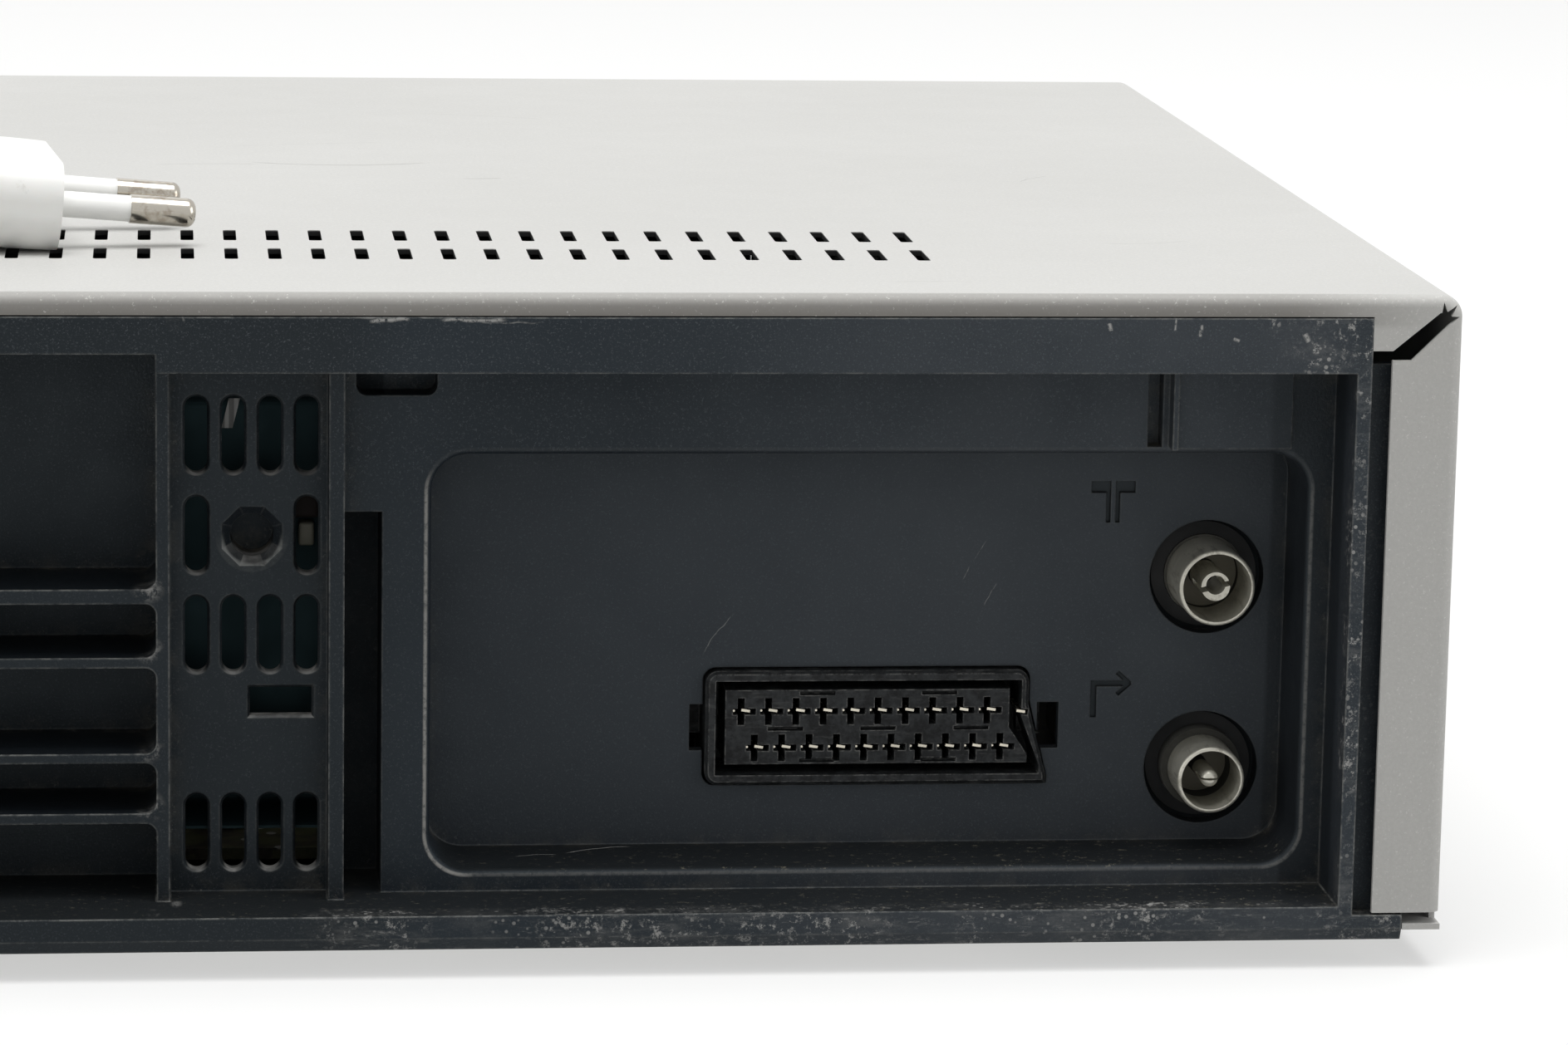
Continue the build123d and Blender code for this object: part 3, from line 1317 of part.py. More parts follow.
head_table_level = 40.0
head_table_thickness = 2.5
with BuildPart() as audio_control_head:
    deck_box(deck_x + 58, deck_x + 69, 47, 56, head_table_level, head_top + 2)
    fillet(audio_control_head.edges().filter_by(Axis.Z), 1.5)
    deck_box(
        deck_x + 55, deck_x + 72, 46, 60, head_table_level - head_table_thickness, head_table_level,
    )
    deck_box(deck_x + 60, deck_x + 67, 50, 56, deck_level, head_table_level - head_table_thickness)
save(audio_control_head, "audio_control_head")

for side, guide_name in ((-1, "supply_guide"), (1, "take_up_guide")):
    with BuildPart() as tape_guide:
        guide_x = deck_x + side * guide_start[0]
        guide_y = guide_start[1]
        deck_box(
            guide_x - guide_base[0] / 2, guide_x + guide_base[0] / 2,
            guide_y - guide_base[1] / 2, guide_y + guide_base[1] / 2,
            deck_level + gap, deck_level + gap + guide_base[2],
        )
        fillet(tape_guide.edges().filter_by(Axis.Z), 1.5)
        upright_pin(
            guide_x, guide_y, guide_slot_width / 2 - 0.2, deck_level - deck_thickness - 0.6,
            deck_level + guide_base[2],
        )
        upright_pin(guide_x, guide_y - 2, guide_post_radius, deck_level + 2, post_top)
        upright_pin(guide_x, guide_y - 2, guide_post_radius + 1, post_top - 2, post_top)
        upright_pin(guide_x, guide_y - 2, guide_post_radius + 1, 42, 44)
        with BuildSketch(
            Plane(
                origin=(guide_x, guide_y + 3.5, deck_level + 3),
                z_dir=(side * 0.16, 0.12, 1),
            )
        ):
            Circle(1.2)
        extrude(amount=post_top - deck_level - 4)
    save(tape_guide, guide_name)


def spur_gear(teeth, x, y, bottom, top, first_tooth=0.0):
    """Spur gear with slim straight-sided teeth that leave backlash."""
    pitch_radius = gear_module * teeth / 2
    with BuildSketch(level(bottom)) as gear_face:
        with Locations((x, y)):
            Circle(pitch_radius - 1.2 * gear_module)
            with PolarLocations(pitch_radius, teeth, start_angle=first_tooth):
                Polygon(
                    (-1.5 * gear_module, -0.75 * gear_module),
                    (0.7 * gear_module, -0.3 * gear_module),
                    (0.7 * gear_module, 0.3 * gear_module),
                    (-1.5 * gear_module, 0.75 * gear_module),
                    align=None,
                )
    extrude(gear_face.sketch, amount=top - bottom)


with BuildPart() as cam_gear:
    spur_gear(cam_teeth, cam_x, cam_y, cam_level, cam_level + cam_thickness)
    with BuildSketch(level(cam_level + cam_thickness)):
        with Locations((cam_x, cam_y)):
            Circle(14)
            Circle(11, mode=Mode.SUBTRACT)
            Circle(5)
    extrude(amount=2)
    upright_pin(cam_x, cam_y, shaft_radius + running_clearance, 0, 60, Mode.SUBTRACT)
save(cam_gear, "cam_gear")

pinion_half_pitch = 180.0 / pinion_teeth
with BuildPart() as motor_pinion:
    spur_gear(
        pinion_teeth, motor_x, motor_y, cam_level, cam_level + cam_thickness,
        mesh_angle + 180 - pinion_half_pitch,
    )
    upright_pin(motor_x, motor_y, 1.2, cam_level, motor_bottom + 3)
save(motor_pinion, "motor_pinion")

with BuildPart() as loading_motor:
    upright_pin(motor_x, motor_y, motor_radius, motor_bottom, motor_bottom + motor_height)
    fillet(loading_motor.edges().filter_by(GeomType.CIRCLE), 1.2)
    for leg_x, leg_y in ((-8.5, 3), (-2, -9)):
        with BuildSketch(level(deck_level)):
            with Locations((motor_x + leg_x, motor_y + leg_y)):
                Circle(1.8)
        extrude(amount=motor_bottom - deck_level + 2)
    upright_pin(motor_x, motor_y, 1.2 + running_clearance, motor_bottom - 1, motor_bottom + 4, Mode.SUBTRACT)
save(loading_motor, "loading_motor")

# ---- Mains lead ----
cord_diameter = 5.6
cord_radius = cord_diameter / 2
relief_length = 30.0
relief_inset = field_inset
gland_y = rear_y - relief_inset + relief_length
coil_x = mains_x - 26.3
coil_y = rear_y - 106.0
coil_inner = 19.4
coil_outer = 42.6
coil_height = 2 * cord_diameter + 0.2
rest_level = case_height + cord_radius + 0.1
plug_pitch = radians(5.0)
plug_yaw = radians(6.7)
plug_face = (-2.0, rear_y - 50.8, rest_level + 3.3)
plug_length = 36.0
pin_length = 19.0
pin_bare = 9.0
plug_pin_radius = 2.0
pin_spacing = 18.3
plug_pin_converge = radians(1.2)

with BuildPart() as strain_relief:
    with BuildSketch(facing_rear(relief_inset)):
        with Locations((mains_x, mains_z)):
            Circle(mains_hole_radius + 2)
    extrude(amount=-3)
    with BuildSketch(facing_rear(relief_inset - 3)):
        with Locations((mains_x, mains_z)):
            Circle(mains_hole_radius)
    with BuildSketch(facing_rear(relief_inset - relief_length)):
        with Locations((mains_x, mains_z)):
            Circle(cord_radius + 0.8)
    loft()
    with BuildSketch(facing_rear(relief_inset)):
        with Locations((mains_x, mains_z)):
            Circle(mains_hole_radius - running_clearance)
    extrude(amount=wall + 3)
    with BuildSketch(facing_rear(relief_inset + wall + gap)):
        with Locations((mains_x, mains_z)):
            Circle(mains_hole_radius + 1.5)
    extrude(amount=2.4)
save(strain_relief, "strain_relief")

lead_to_coil = [
    (mains_x, gland_y, mains_z),
    (mains_x, rear_y + 49.0, mains_z),
    (mains_x + 1.0, rear_y + 78.0, 10.0),
    (mains_x + 3.0, rear_y + 111.0, 18.0),
    (mains_x + 5.5, rear_y + 125.5, rest_level - 44.6),
    (mains_x + 7.5, rear_y + 112.0, rest_level - 15.6),
    (mains_x + 10.0, rear_y + 61.0, rest_level + 5.4),
    (mains_x + 12.0, rear_y + 18.0, rest_level + 10.9),
    (mains_x + 13.0, rear_y - 18.0, rest_level + 9.9),
    (mains_x + 13.4, coil_y + 48.0, rest_level + 0.2),
    (mains_x + 13.4, coil_y + 12.0, rest_level),
]
lead_to_plug = [
    (coil_x - 39.7, coil_y + 12.0, rest_level + 5.8),
    (coil_x - 39.7, coil_y + 44.5, rest_level + 3.4),
    (coil_x - 61.7, rear_y - 42.6, rest_level + 2.9),
    (plug_face[0] + 35.6, plug_face[1] + 4.2, rest_level + 6.4),
]


def cord_tube(route, name):
    """Round lead along straight runs joined by the largest arcs that fit."""
    points = [Vector(*point) for point in route]
    runs = [(end - start).length for start, end in zip(points, points[1:])]
    turns = [
        (points[i] - points[i - 1]).get_angle(points[i + 1] - points[i])
        for i in range(1, len(points) - 1)
    ]
    radii = [
        0.45 * min(runs[i], runs[i + 1]) / tan(radians(turn) / 2) for i, turn in enumerate(turns)
    ]
    with BuildPart() as lead:
        with BuildLine() as path:
            FilletPolyline(*points, radius=radii)
        with BuildSketch(Plane(origin=points[0], z_dir=points[1] - points[0])) as section:
            Circle(cord_radius)
        sweep(section.sketch, path=path.wire())
    save(lead, name)


cord_tube(lead_to_coil, "mains_lead")
cord_tube(lead_to_plug, "plug_lead")

with BuildPart() as lead_coil:
    with BuildSketch(level(case_height)):
        with Locations((coil_x, coil_y)):
            Circle(coil_outer)
            Circle(coil_inner, mode=Mode.SUBTRACT)
    extrude(amount=coil_height)
    fillet(lead_coil.edges().group_by(Axis.Z)[-1], 2)
save(lead_coil, "lead_coil")

plug_way = Vector(
    -cos(plug_yaw) * cos(plug_pitch), -sin(plug_yaw) * cos(plug_pitch), -sin(plug_pitch),
)
plug_across = Vector(-sin(plug_yaw), cos(plug_yaw), 0)


def plug_plane(distance):
    """Plane across the plug, at a distance in front of its face, with its width along local X."""
    return Plane(origin=Vector(*plug_face) + plug_way * distance, x_dir=plug_across, z_dir=plug_way)


with BuildPart() as plug_body:
    for distance, body_width, body_height, corner in (
        (0, 34, 12.0, 5.0), (-12, 30, 12.6, 5.5), (-24, 17, 11.5, 5.0), (-plug_length, 9.0, 8.4, 4.0),
    ):
        with BuildSketch(plug_plane(distance)):
            RectangleRounded(body_width, body_height, corner)
    loft()
save(plug_body, "plug_body")

with BuildPart() as plug_pins:
    for side in (-1, 1):
        pin_way = (plug_way - plug_across * side * tan(plug_pin_converge)).normalized()
        pin_root = Vector(*plug_face) + plug_across * side * pin_spacing / 2
        with BuildSketch(Plane(origin=pin_root, z_dir=pin_way)):
            Circle(plug_pin_radius * 0.9)
        extrude(amount=pin_length - pin_bare)
        with BuildSketch(Plane(origin=pin_root + pin_way * (pin_length - pin_bare), z_dir=pin_way)):
            Circle(plug_pin_radius)
        extrude(amount=pin_bare)
        tip = pin_root + pin_way * pin_length
        tip_edge = plug_pins.edges().filter_by(GeomType.CIRCLE).sort_by_distance(tip)[0]
        fillet(tip_edge, plug_pin_radius * 0.6)
save(plug_pins, "plug_pins")
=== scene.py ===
import math

import bmesh
import bpy
from mathutils import Matrix, Vector


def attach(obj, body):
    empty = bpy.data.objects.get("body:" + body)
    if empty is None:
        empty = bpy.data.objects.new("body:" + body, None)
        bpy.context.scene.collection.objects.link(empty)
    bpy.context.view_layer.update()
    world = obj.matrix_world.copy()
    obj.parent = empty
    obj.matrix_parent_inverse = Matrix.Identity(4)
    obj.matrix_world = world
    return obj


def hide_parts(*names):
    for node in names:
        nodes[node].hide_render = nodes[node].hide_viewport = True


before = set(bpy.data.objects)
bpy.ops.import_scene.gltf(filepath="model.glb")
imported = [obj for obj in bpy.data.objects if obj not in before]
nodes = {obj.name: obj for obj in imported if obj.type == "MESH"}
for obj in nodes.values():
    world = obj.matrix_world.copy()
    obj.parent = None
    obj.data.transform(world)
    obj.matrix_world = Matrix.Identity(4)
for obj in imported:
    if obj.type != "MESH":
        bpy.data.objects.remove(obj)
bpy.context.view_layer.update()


def mm(*values):
    """A point given in millimetres, in metres."""
    return Vector(values) * 0.001


# ---- Camera: its place, aim and lens are fitted to points of the photograph ----
camera_place = mm(-17.993, 862.349, 199.378)
camera_aim = Vector((-0.11002, -0.97637, -0.18599))
camera_top = Vector((-0.00259, -0.18685, 0.98239))
camera_data = bpy.data.cameras.new("camera")
camera_data.sensor_width = 36.0
camera_data.lens = 127.822
camera_data.clip_start, camera_data.clip_end = 0.05, 30.0
camera = bpy.data.objects.new("camera", camera_data)
bpy.context.collection.objects.link(camera)
look = camera_aim.normalized()
side = look.cross(camera_top).normalized()
rise = side.cross(look)
facing = Matrix((side, rise, -look)).transposed().to_4x4()
camera.matrix_world = Matrix.Translation(camera_place) @ facing
bpy.context.scene.camera = camera


def add_piece(name, data, slot):
    """Link a piece of the case's body."""
    made = bpy.data.objects.new(name, data)
    bpy.context.collection.objects.link(made)
    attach(made, "case")
    return made


# ---- Mains lead: from the strain relief up on to the cover, coiled there, and on to the plug ----
lead_exit, lead_length, lead_diameter = (150, 159, 28), 1.536, 0.0056
lead_points = [
    lead_exit, (150, 191, 28), (151, 220, 10), (153, 253, 18), (155.5, 267.5, 51),
    (157.5, 254, 80), (160, 203, 101), (162, 160, 106.5), (163, 124, 105.5), (163.4, 84, 96.3),
    (163.4, 48, 96.1),
]
# the coil: three turns inwards on the cover, a quarter turn up on to them, then outwards again
coil_x, coil_y, coil_low, coil_high = 123.7, 36.0, 96.1, 102.0
coil_turns, lower_turns, quarter, points_per_turn = 5.5, 3, 0.25, 24
outer_radius, inward_pitch = 39.7, 5.8
inner_radius, first_widening, outward_pitch = 22.3, 2.9, 7.25


def share(value, whole):
    """A value's part of the whole, held between none and all of it."""
    return max(0.0, min(1.0, value / whole))


for step in range(1, int(coil_turns * points_per_turn)):
    turn = step / points_per_turn
    if turn <= lower_turns:
        radius = outer_radius - inward_pitch * turn
    else:
        radius = inner_radius + share(turn - lower_turns - quarter, quarter) * first_widening
        radius += outward_pitch * max(0.0, turn - lower_turns - 2 * quarter)
    climb = share(turn - lower_turns, quarter)
    angle = -math.tau * turn
    lead_points.append((
        coil_x + radius * math.cos(angle), coil_y + radius * math.sin(angle),
        coil_low + climb * (coil_high - coil_low),
    ))
lead_points += [(84, 46, 102), (84, 80.5, 99), (62, 99.4, 98.5), (33.6, 95.4, 102)]


def cord_curve(name, points, radius):
    """Smooth round cord through its control points, whose radii give its thickness."""
    curve = bpy.data.curves.new(name, "CURVE")
    curve.dimensions = "3D"
    curve.bevel_depth = 1.0
    curve.bevel_resolution = 6
    curve.resolution_u = 8
    curve.use_fill_caps = True
    spline = curve.splines.new("NURBS")
    spline.points.add(len(points) - 1)
    for control, point in zip(spline.points, points):
        control.co = (*mm(*point), 1.0)
        control.radius = radius
    spline.order_u = 3
    spline.use_endpoint_u = True
    return curve


lead_curve = cord_curve("mains_cord", lead_points, lead_diameter / 2)
mains_cord = add_piece("mains_cord", lead_curve, "cord_white")
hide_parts("mains_lead", "lead_coil", "plug_lead")


# ---- Material kit ----
class Graph:
    """One material's nodes. Inputs given as sockets are linked, the others are set as values."""

    def __init__(self, name, world=None):
        self.material = world or bpy.data.materials.new(name)
        self.material.use_nodes = True
        self.tree = self.material.node_tree
        self.tree.nodes.clear()
        self.coords = self.add("TexCoord").outputs["Object"]

    def put(self, socket, value):
        """Link a socket or a node to a socket, or set its value."""
        if isinstance(value, bpy.types.NodeSocket):
            self.tree.links.new(value, socket)
        elif isinstance(value, bpy.types.Node):
            self.tree.links.new(value.outputs[0], socket)
        elif socket.type == "RGBA":
            socket.default_value = (*value[:3], 1.0)
        else:
            socket.default_value = value

    def add(self, kind, settings=None, *ordered, **named):
        """A new node, its settings, and its inputs by order and by name."""
        node = self.tree.nodes.new("ShaderNode" + kind)
        for key, value in (settings or {}).items():
            setattr(node, key, value)
        for index, value in enumerate(ordered):
            self.put(node.inputs[index], value)
        for key, value in named.items():
            self.put(node.inputs[key.replace("_", " ")], value)
        return node

    def math(self, operation, *values):
        return self.add("Math", {"operation": operation}, *values).outputs[0]

    def times(self, first, *others):
        """Product of all the values."""
        for other in others:
            first = self.math("MULTIPLY", first, other)
        return first

    def most(self, first, *others):
        """Largest of all the values."""
        for other in others:
            first = self.math("MAXIMUM", first, other)
        return first

    def noise(self, scale, detail, roughness=0.55, vector=None):
        return self.add(
            "TexNoise", None, Vector=vector or self.coords, Scale=scale, Detail=detail,
            Roughness=roughness,
        ).outputs[0]

    def cells(self, scale, feature="F1"):
        return self.add(
            "TexVoronoi", {"feature": feature}, Vector=self.coords, Scale=scale,
        ).outputs["Distance"]

    def ramp(self, factor, low, high, start=0.0, end=1.0):
        """Smooth step of a value from low..high to start..end."""
        return self.add(
            "MapRange", {"interpolation_type": "SMOOTHSTEP"}, factor, low, high, start, end,
        ).outputs[0]

    def between(self, value, rise_start, rise_end, fall_start, fall_end):
        """One in a band of a value, with a soft edge on either side."""
        rise = self.ramp(value, rise_start, rise_end)
        return self.times(rise, self.ramp(value, fall_end, fall_start))

    def mix(self, factor, first, second):
        """Colour between two colours. The Mix node's colour sockets are its inputs 6 and 7."""
        node = self.add("Mix", {"data_type": "RGBA"})
        for index, value in ((0, factor), (6, first), (7, second)):
            self.put(node.inputs[index], value)
        return node.outputs[2]

    def stretched(self, scale, turn=(0, 0, 0), move=(0, 0, 0)):
        return self.add(
            "Mapping", {"vector_type": "POINT"}, Vector=self.coords, Scale=scale, Rotation=turn,
            Location=move,
        ).outputs[0]

    def split(self, vector=None):
        return self.add("SeparateXYZ", None, vector or self.coords).outputs

    def bump(self, height, strength, distance, under=None):
        node = self.add("Bump", None, Height=height, Strength=strength, Distance=distance)
        if under:
            self.put(node.inputs["Normal"], under)
        return node.outputs[0]

    def corner_dust(self, distance, low=0.35, high=0.75):
        """One in hollow corners, falling to zero in the open."""
        occlusion = self.add(
            "AmbientOcclusion", {"samples": 6, "only_local": True}, Distance=distance,
        )
        return self.ramp(occlusion.outputs["AO"], high, low)

    def edges(self, radius):
        """One on edges whose faces meet at an angle."""
        rounded = self.add("Bevel", {"samples": 4}, Radius=radius).outputs[0]
        true = self.add("NewGeometry").outputs["Normal"]
        agree = self.add("VectorMath", {"operation": "DOT_PRODUCT"}, rounded, true).outputs["Value"]
        return self.ramp(self.math("SUBTRACT", 1.0, agree), 0.004, 0.05)

    def spots(self, places, vector=None):
        """Soft mask near places given as (x, y, z, radius) in millimetres."""
        total = None
        for x, y, z, radius in places:
            away = self.add(
                "VectorMath", {"operation": "DISTANCE"}, vector or self.coords, tuple(mm(x, y, z)),
            ).outputs["Value"]
            near = self.ramp(away, radius * 0.001, 0.0)
            total = near if total is None else self.most(total, near)
        return total

    def axis_distance(self, x, z):
        """Distance from a line along Y through (x, z) in millimetres."""
        axes = self.split()
        flat = self.add("CombineXYZ", None, axes["X"], 0.0, axes["Z"]).outputs[0]
        away = self.add("VectorMath", {"operation": "DISTANCE"}, flat, tuple(mm(x, 0, z)))
        return away.outputs["Value"]

    def rim_distance(self, centre, half, radius):
        """Signed distance from a rounded rectangle in the XZ plane, below zero inside it."""
        axes = self.split()
        beyond = []
        for axis, middle, extent in zip("XZ", centre, half):
            away = self.math("ABSOLUTE", self.math("SUBTRACT", axes[axis], middle * 0.001))
            beyond.append(self.math("SUBTRACT", away, (extent - radius) * 0.001))
        outside = [self.most(value, 0.0) for value in beyond]
        corner = self.add("CombineXYZ", None, outside[0], outside[1], 0.0).outputs[0]
        length = self.add("VectorMath", {"operation": "LENGTH"}, corner).outputs["Value"]
        inside = self.math("MINIMUM", self.most(*beyond), 0.0)
        return self.math("SUBTRACT", self.math("ADD", length, inside), radius * 0.001)

    def strokes(self, lines, across):
        """Fine scratches, each (u, v, angle, half length, bow, width), in mm and degrees."""
        axes = self.split()
        u_axis, v_axis = axes[across[0]], axes[across[1]]
        wobble = self.times(self.math("SUBTRACT", self.noise(260, 2), 0.5), 0.0012)
        total = None
        for u, v, angle, half, bow, width in lines:
            c, s = math.cos(math.radians(angle)), math.sin(math.radians(angle))
            du = self.math("SUBTRACT", u_axis, u * 0.001)
            dv = self.math("SUBTRACT", v_axis, v * 0.001)
            along = self.math("ADD", self.times(du, c), self.times(dv, s))
            off = self.math("SUBTRACT", self.times(dv, c), self.times(du, s))
            curve = self.times(along, along, bow / (half * half) * 1000)
            off = self.math("ADD", self.math("SUBTRACT", off, curve), wobble)
            thin = self.ramp(self.math("ABSOLUTE", off), width * 0.001, 0.0)
            short = self.ramp(self.math("ABSOLUTE", along), half * 0.001, half * 0.0007)
            line = self.times(thin, short)
            total = line if total is None else self.most(total, line)
        return total

    def shader(self, **inputs):
        node = self.add("BsdfPrincipled", None, **inputs)
        out = self.add("OutputMaterial")
        self.tree.links.new(node.outputs[0], out.inputs[0])
        return self.material


def scaled(colour, factor):
    """The same colour, darker or lighter."""
    return tuple(channel * factor for channel in colour)


def dress(material, *names):
    """Give CAD nodes a material."""
    for name in names:
        mesh = nodes[name].data
        mesh.materials.clear()
        mesh.materials.append(material)


# ---- Materials ----
# places that the materials and the small pieces share, as (x, z) in millimetres
socket_in, socket_out, adjuster = (-161.3, 49.3), (-161.3, 22.2), (-29.2, 57.7)
# the rear panel: its darkest tone, and the soft limits of its frame's face (Y), its sill and lower
# ledge (Z, downwards) and its upper band (Z)
panel_shade = (0.0012, 0.0022, 0.0034)
frame_face, low_ledge, upper_band = (0.137, 0.140), (0.0165, 0.0145), (0.058, 0.074)


def cover_paint():
    """Pale grey sheet-steel paint with scratches and painted sparkle, and painted shade in the vent
    slots, on the rear flange and down the rolled lip.
    """
    g = Graph("cover_paint")
    axes = g.split()
    cloud = g.noise(9, 3, 0.5)
    base = g.mix(g.ramp(cloud, 0.3, 0.7), (0.515, 0.512, 0.494), (0.54, 0.537, 0.519))
    grain = g.ramp(g.noise(1900, 2, 0.7), 0.32, 0.68)
    base = g.mix(g.ramp(grain, 0, 1, 0.0, 0.16), base, (0.36, 0.358, 0.345))
    # painted sparkle: sparse light flecks of the metallic paint
    flake_sparkle = g.ramp(g.noise(2600, 1, 0.6), 0.66, 0.74)
    base = g.mix(g.times(flake_sparkle, 0.35), base, (0.80, 0.80, 0.78))
    scratches = g.strokes([
        (-44.5, 7, 0, 15, -4.2, 0.55), (-24, 6, 4, 9, 0.6, 0.3), (-65.6, 22.7, 1, 3.2, -0.4, 0.45),
        (-156, 92, 12, 7, -1.4, 0.13), (-120, 130, 1, 6, 0.2, 0.12), (-70, -60, -20, 12, 0.6, 0.1),
        (-150, 20, 55, 5, 0.6, 0.13), (60, -90, 8, 18, -1.0, 0.1), (-40, -20, 14, 14, 0.8, 0.1),
    ], "XY")
    base = g.mix(g.times(scratches, 0.6), base, (0.20, 0.195, 0.18))
    chips = g.times(g.edges(0.0005), g.ramp(g.noise(300, 4, 0.7), 0.60, 0.66))
    base = g.mix(g.times(chips, 0.7), base, (0.70, 0.69, 0.66))
    # painted shade keeps the walls of the vent slots very dark
    from_middle = g.math("ABSOLUTE", axes["X"])
    vent_rows = g.between(axes["Y"], 0.0800, 0.0805, 0.1105, 0.1112)
    slot_wall_shade = g.times(g.ramp(axes["Z"], 0.09268, 0.0925), vent_rows, g.ramp(from_middle, 0.128, 0.127))
    base = g.mix(slot_wall_shade, base, (0.012, 0.012, 0.012))
    # painted shade darkens the rear flange; painted sparkle puts fine light flecks on it
    back = g.ramp(axes["Y"], 0.1405, 0.1415)
    base = g.mix(g.times(back, 0.22), base, (0.34, 0.33, 0.305))
    # painted shade darkens the rolled lip from its bend downwards
    lip = g.times(
        g.ramp(axes["Z"], 0.0927, 0.0897, 0.46, 0.96), g.ramp(axes["Z"], 0.0880, 0.0890),
        g.ramp(from_middle, 0.1885, 0.1640), g.ramp(axes["Y"], 0.1402, 0.1409),
    )
    base = g.mix(lip, base, (0.19, 0.18, 0.165))
    # painted sparkle: fine light flecks of the metallic paint on the rear flange
    flange_sparkle = g.times(g.ramp(g.noise(1500, 4, 0.8), 0.60, 0.68), back)
    base = g.mix(g.times(flange_sparkle, 0.55), base, (0.78, 0.77, 0.74))
    rough = g.ramp(g.noise(60, 4, 0.6), 0.3, 0.7, 0.50, 0.58)
    normal = g.bump(g.noise(2300, 2, 0.55), 0.22, 0.00007)
    return g.shader(Base_Color=base, Roughness=rough, Normal=normal, Specular_IOR_Level=0.32)


def moulded(name, colour, rough, grain, depth, edge, variety=0.12, tint=(1, 1, 1)):
    """Moulded plastic with spark-eroded grain, faint clouding and rubbed edges."""
    g = Graph(name)
    cloud = g.ramp(g.noise(35, 4, 0.6), 0.35, 0.65)
    base = g.mix(cloud, scaled(colour, 1 - variety), scaled(colour, 1 + variety))
    worn = g.times(g.edges(0.0004), g.ramp(g.noise(240, 3, 0.7), 0.42, 0.62))
    base = g.mix(g.times(worn, 0.55), base, edge)
    roughness = g.ramp(g.noise(120, 3, 0.6), 0.3, 0.7, rough - 0.06, rough + 0.06)
    normal = g.bump(g.noise(grain, 2, 0.6), depth, 0.0001)
    return g.shader(
        Base_Color=base, Roughness=roughness, Normal=normal, Specular_IOR_Level=0.45,
        Specular_Tint=tint,
    )


def sheet_metal(name, colour, rough=0.34, direction=(40, 1600, 40)):
    """Rolled or plated sheet with fine rolling marks and a little tarnish."""
    g = Graph(name)
    marks = g.noise(1, 4, 0.6, g.stretched(direction))
    cloud = g.ramp(g.noise(45, 4, 0.6), 0.35, 0.65)
    base = g.mix(cloud, scaled(colour, 0.88), scaled(colour, 1.12))
    tarnish = g.times(g.ramp(g.noise(22, 5, 0.7), 0.55, 0.75), 0.4)
    base = g.mix(tarnish, base, scaled(colour, 0.55))
    roughness = g.math("ADD", g.times(marks, 0.16), rough - 0.08)
    normal = g.bump(marks, 0.08, 0.00005)
    return g.shader(Base_Color=base, Metallic=0.9, Roughness=roughness, Normal=normal)


def panel_tone(g, axes):
    """The rear panel's moulded colour: glinting grain and a darker vent panel, with painted light
    on the sunk floor and the right side and painted shade in the gutter.
    """
    cloud = g.ramp(g.noise(26, 5, 0.62), 0.32, 0.7)
    base = g.mix(cloud, (0.0060, 0.0088, 0.0125), (0.0100, 0.0138, 0.0186))
    # painted light makes the sunk field's floor lighter and greyer; the vent panel is darker
    sunk = g.between(axes["Y"], 0.1146, 0.1152, 0.1157, 0.1160)
    base = g.mix(g.times(sunk, 0.60), base, (0.030, 0.034, 0.040))
    vents = g.ramp(axes["X"], -0.052, -0.038)
    base = g.mix(g.times(vents, 0.75), base, panel_shade)
    # moulded grain, coarser and glinting on the frame, in the upper band and on the right
    upper = g.ramp(axes["Z"], *upper_band)
    strength = g.math(
        "ADD", g.ramp(upper, 0, 1, 0.30, 0.60), g.ramp(axes["X"], -0.08, -0.14, 0.0, 0.3),
    )
    glint = g.times(g.ramp(g.noise(3400, 3, 0.85), 0.55, 0.68), strength)
    base = g.mix(glint, base, (0.098, 0.107, 0.117))
    # painted light: the right side is painted a little lighter and greyer
    side = g.ramp(g.noise(48, 4, 0.6), 0.30, 0.62, 0.6, 1.0)
    side = g.times(g.ramp(axes["X"], -0.060, -0.140), side)
    side = g.times(side, g.ramp(axes["X"], -0.1790, -0.1700, 0.4, 1.0))
    base = g.mix(g.times(side, 0.60), base, (0.052, 0.057, 0.064))
    # painted shade darkens the gutter between the sunk field and the frame's right edge
    gutter = g.times(g.ramp(axes["X"], -0.1660, -0.1674), g.ramp(axes["Z"], 0.0685, 0.0700))
    gutter = g.most(gutter, g.ramp(axes["X"], -0.1697, -0.1706))
    gutter = g.times(gutter, g.ramp(axes["Y"], 0.1365, 0.1345))
    return g.mix(g.times(gutter, 0.60), base, panel_shade)


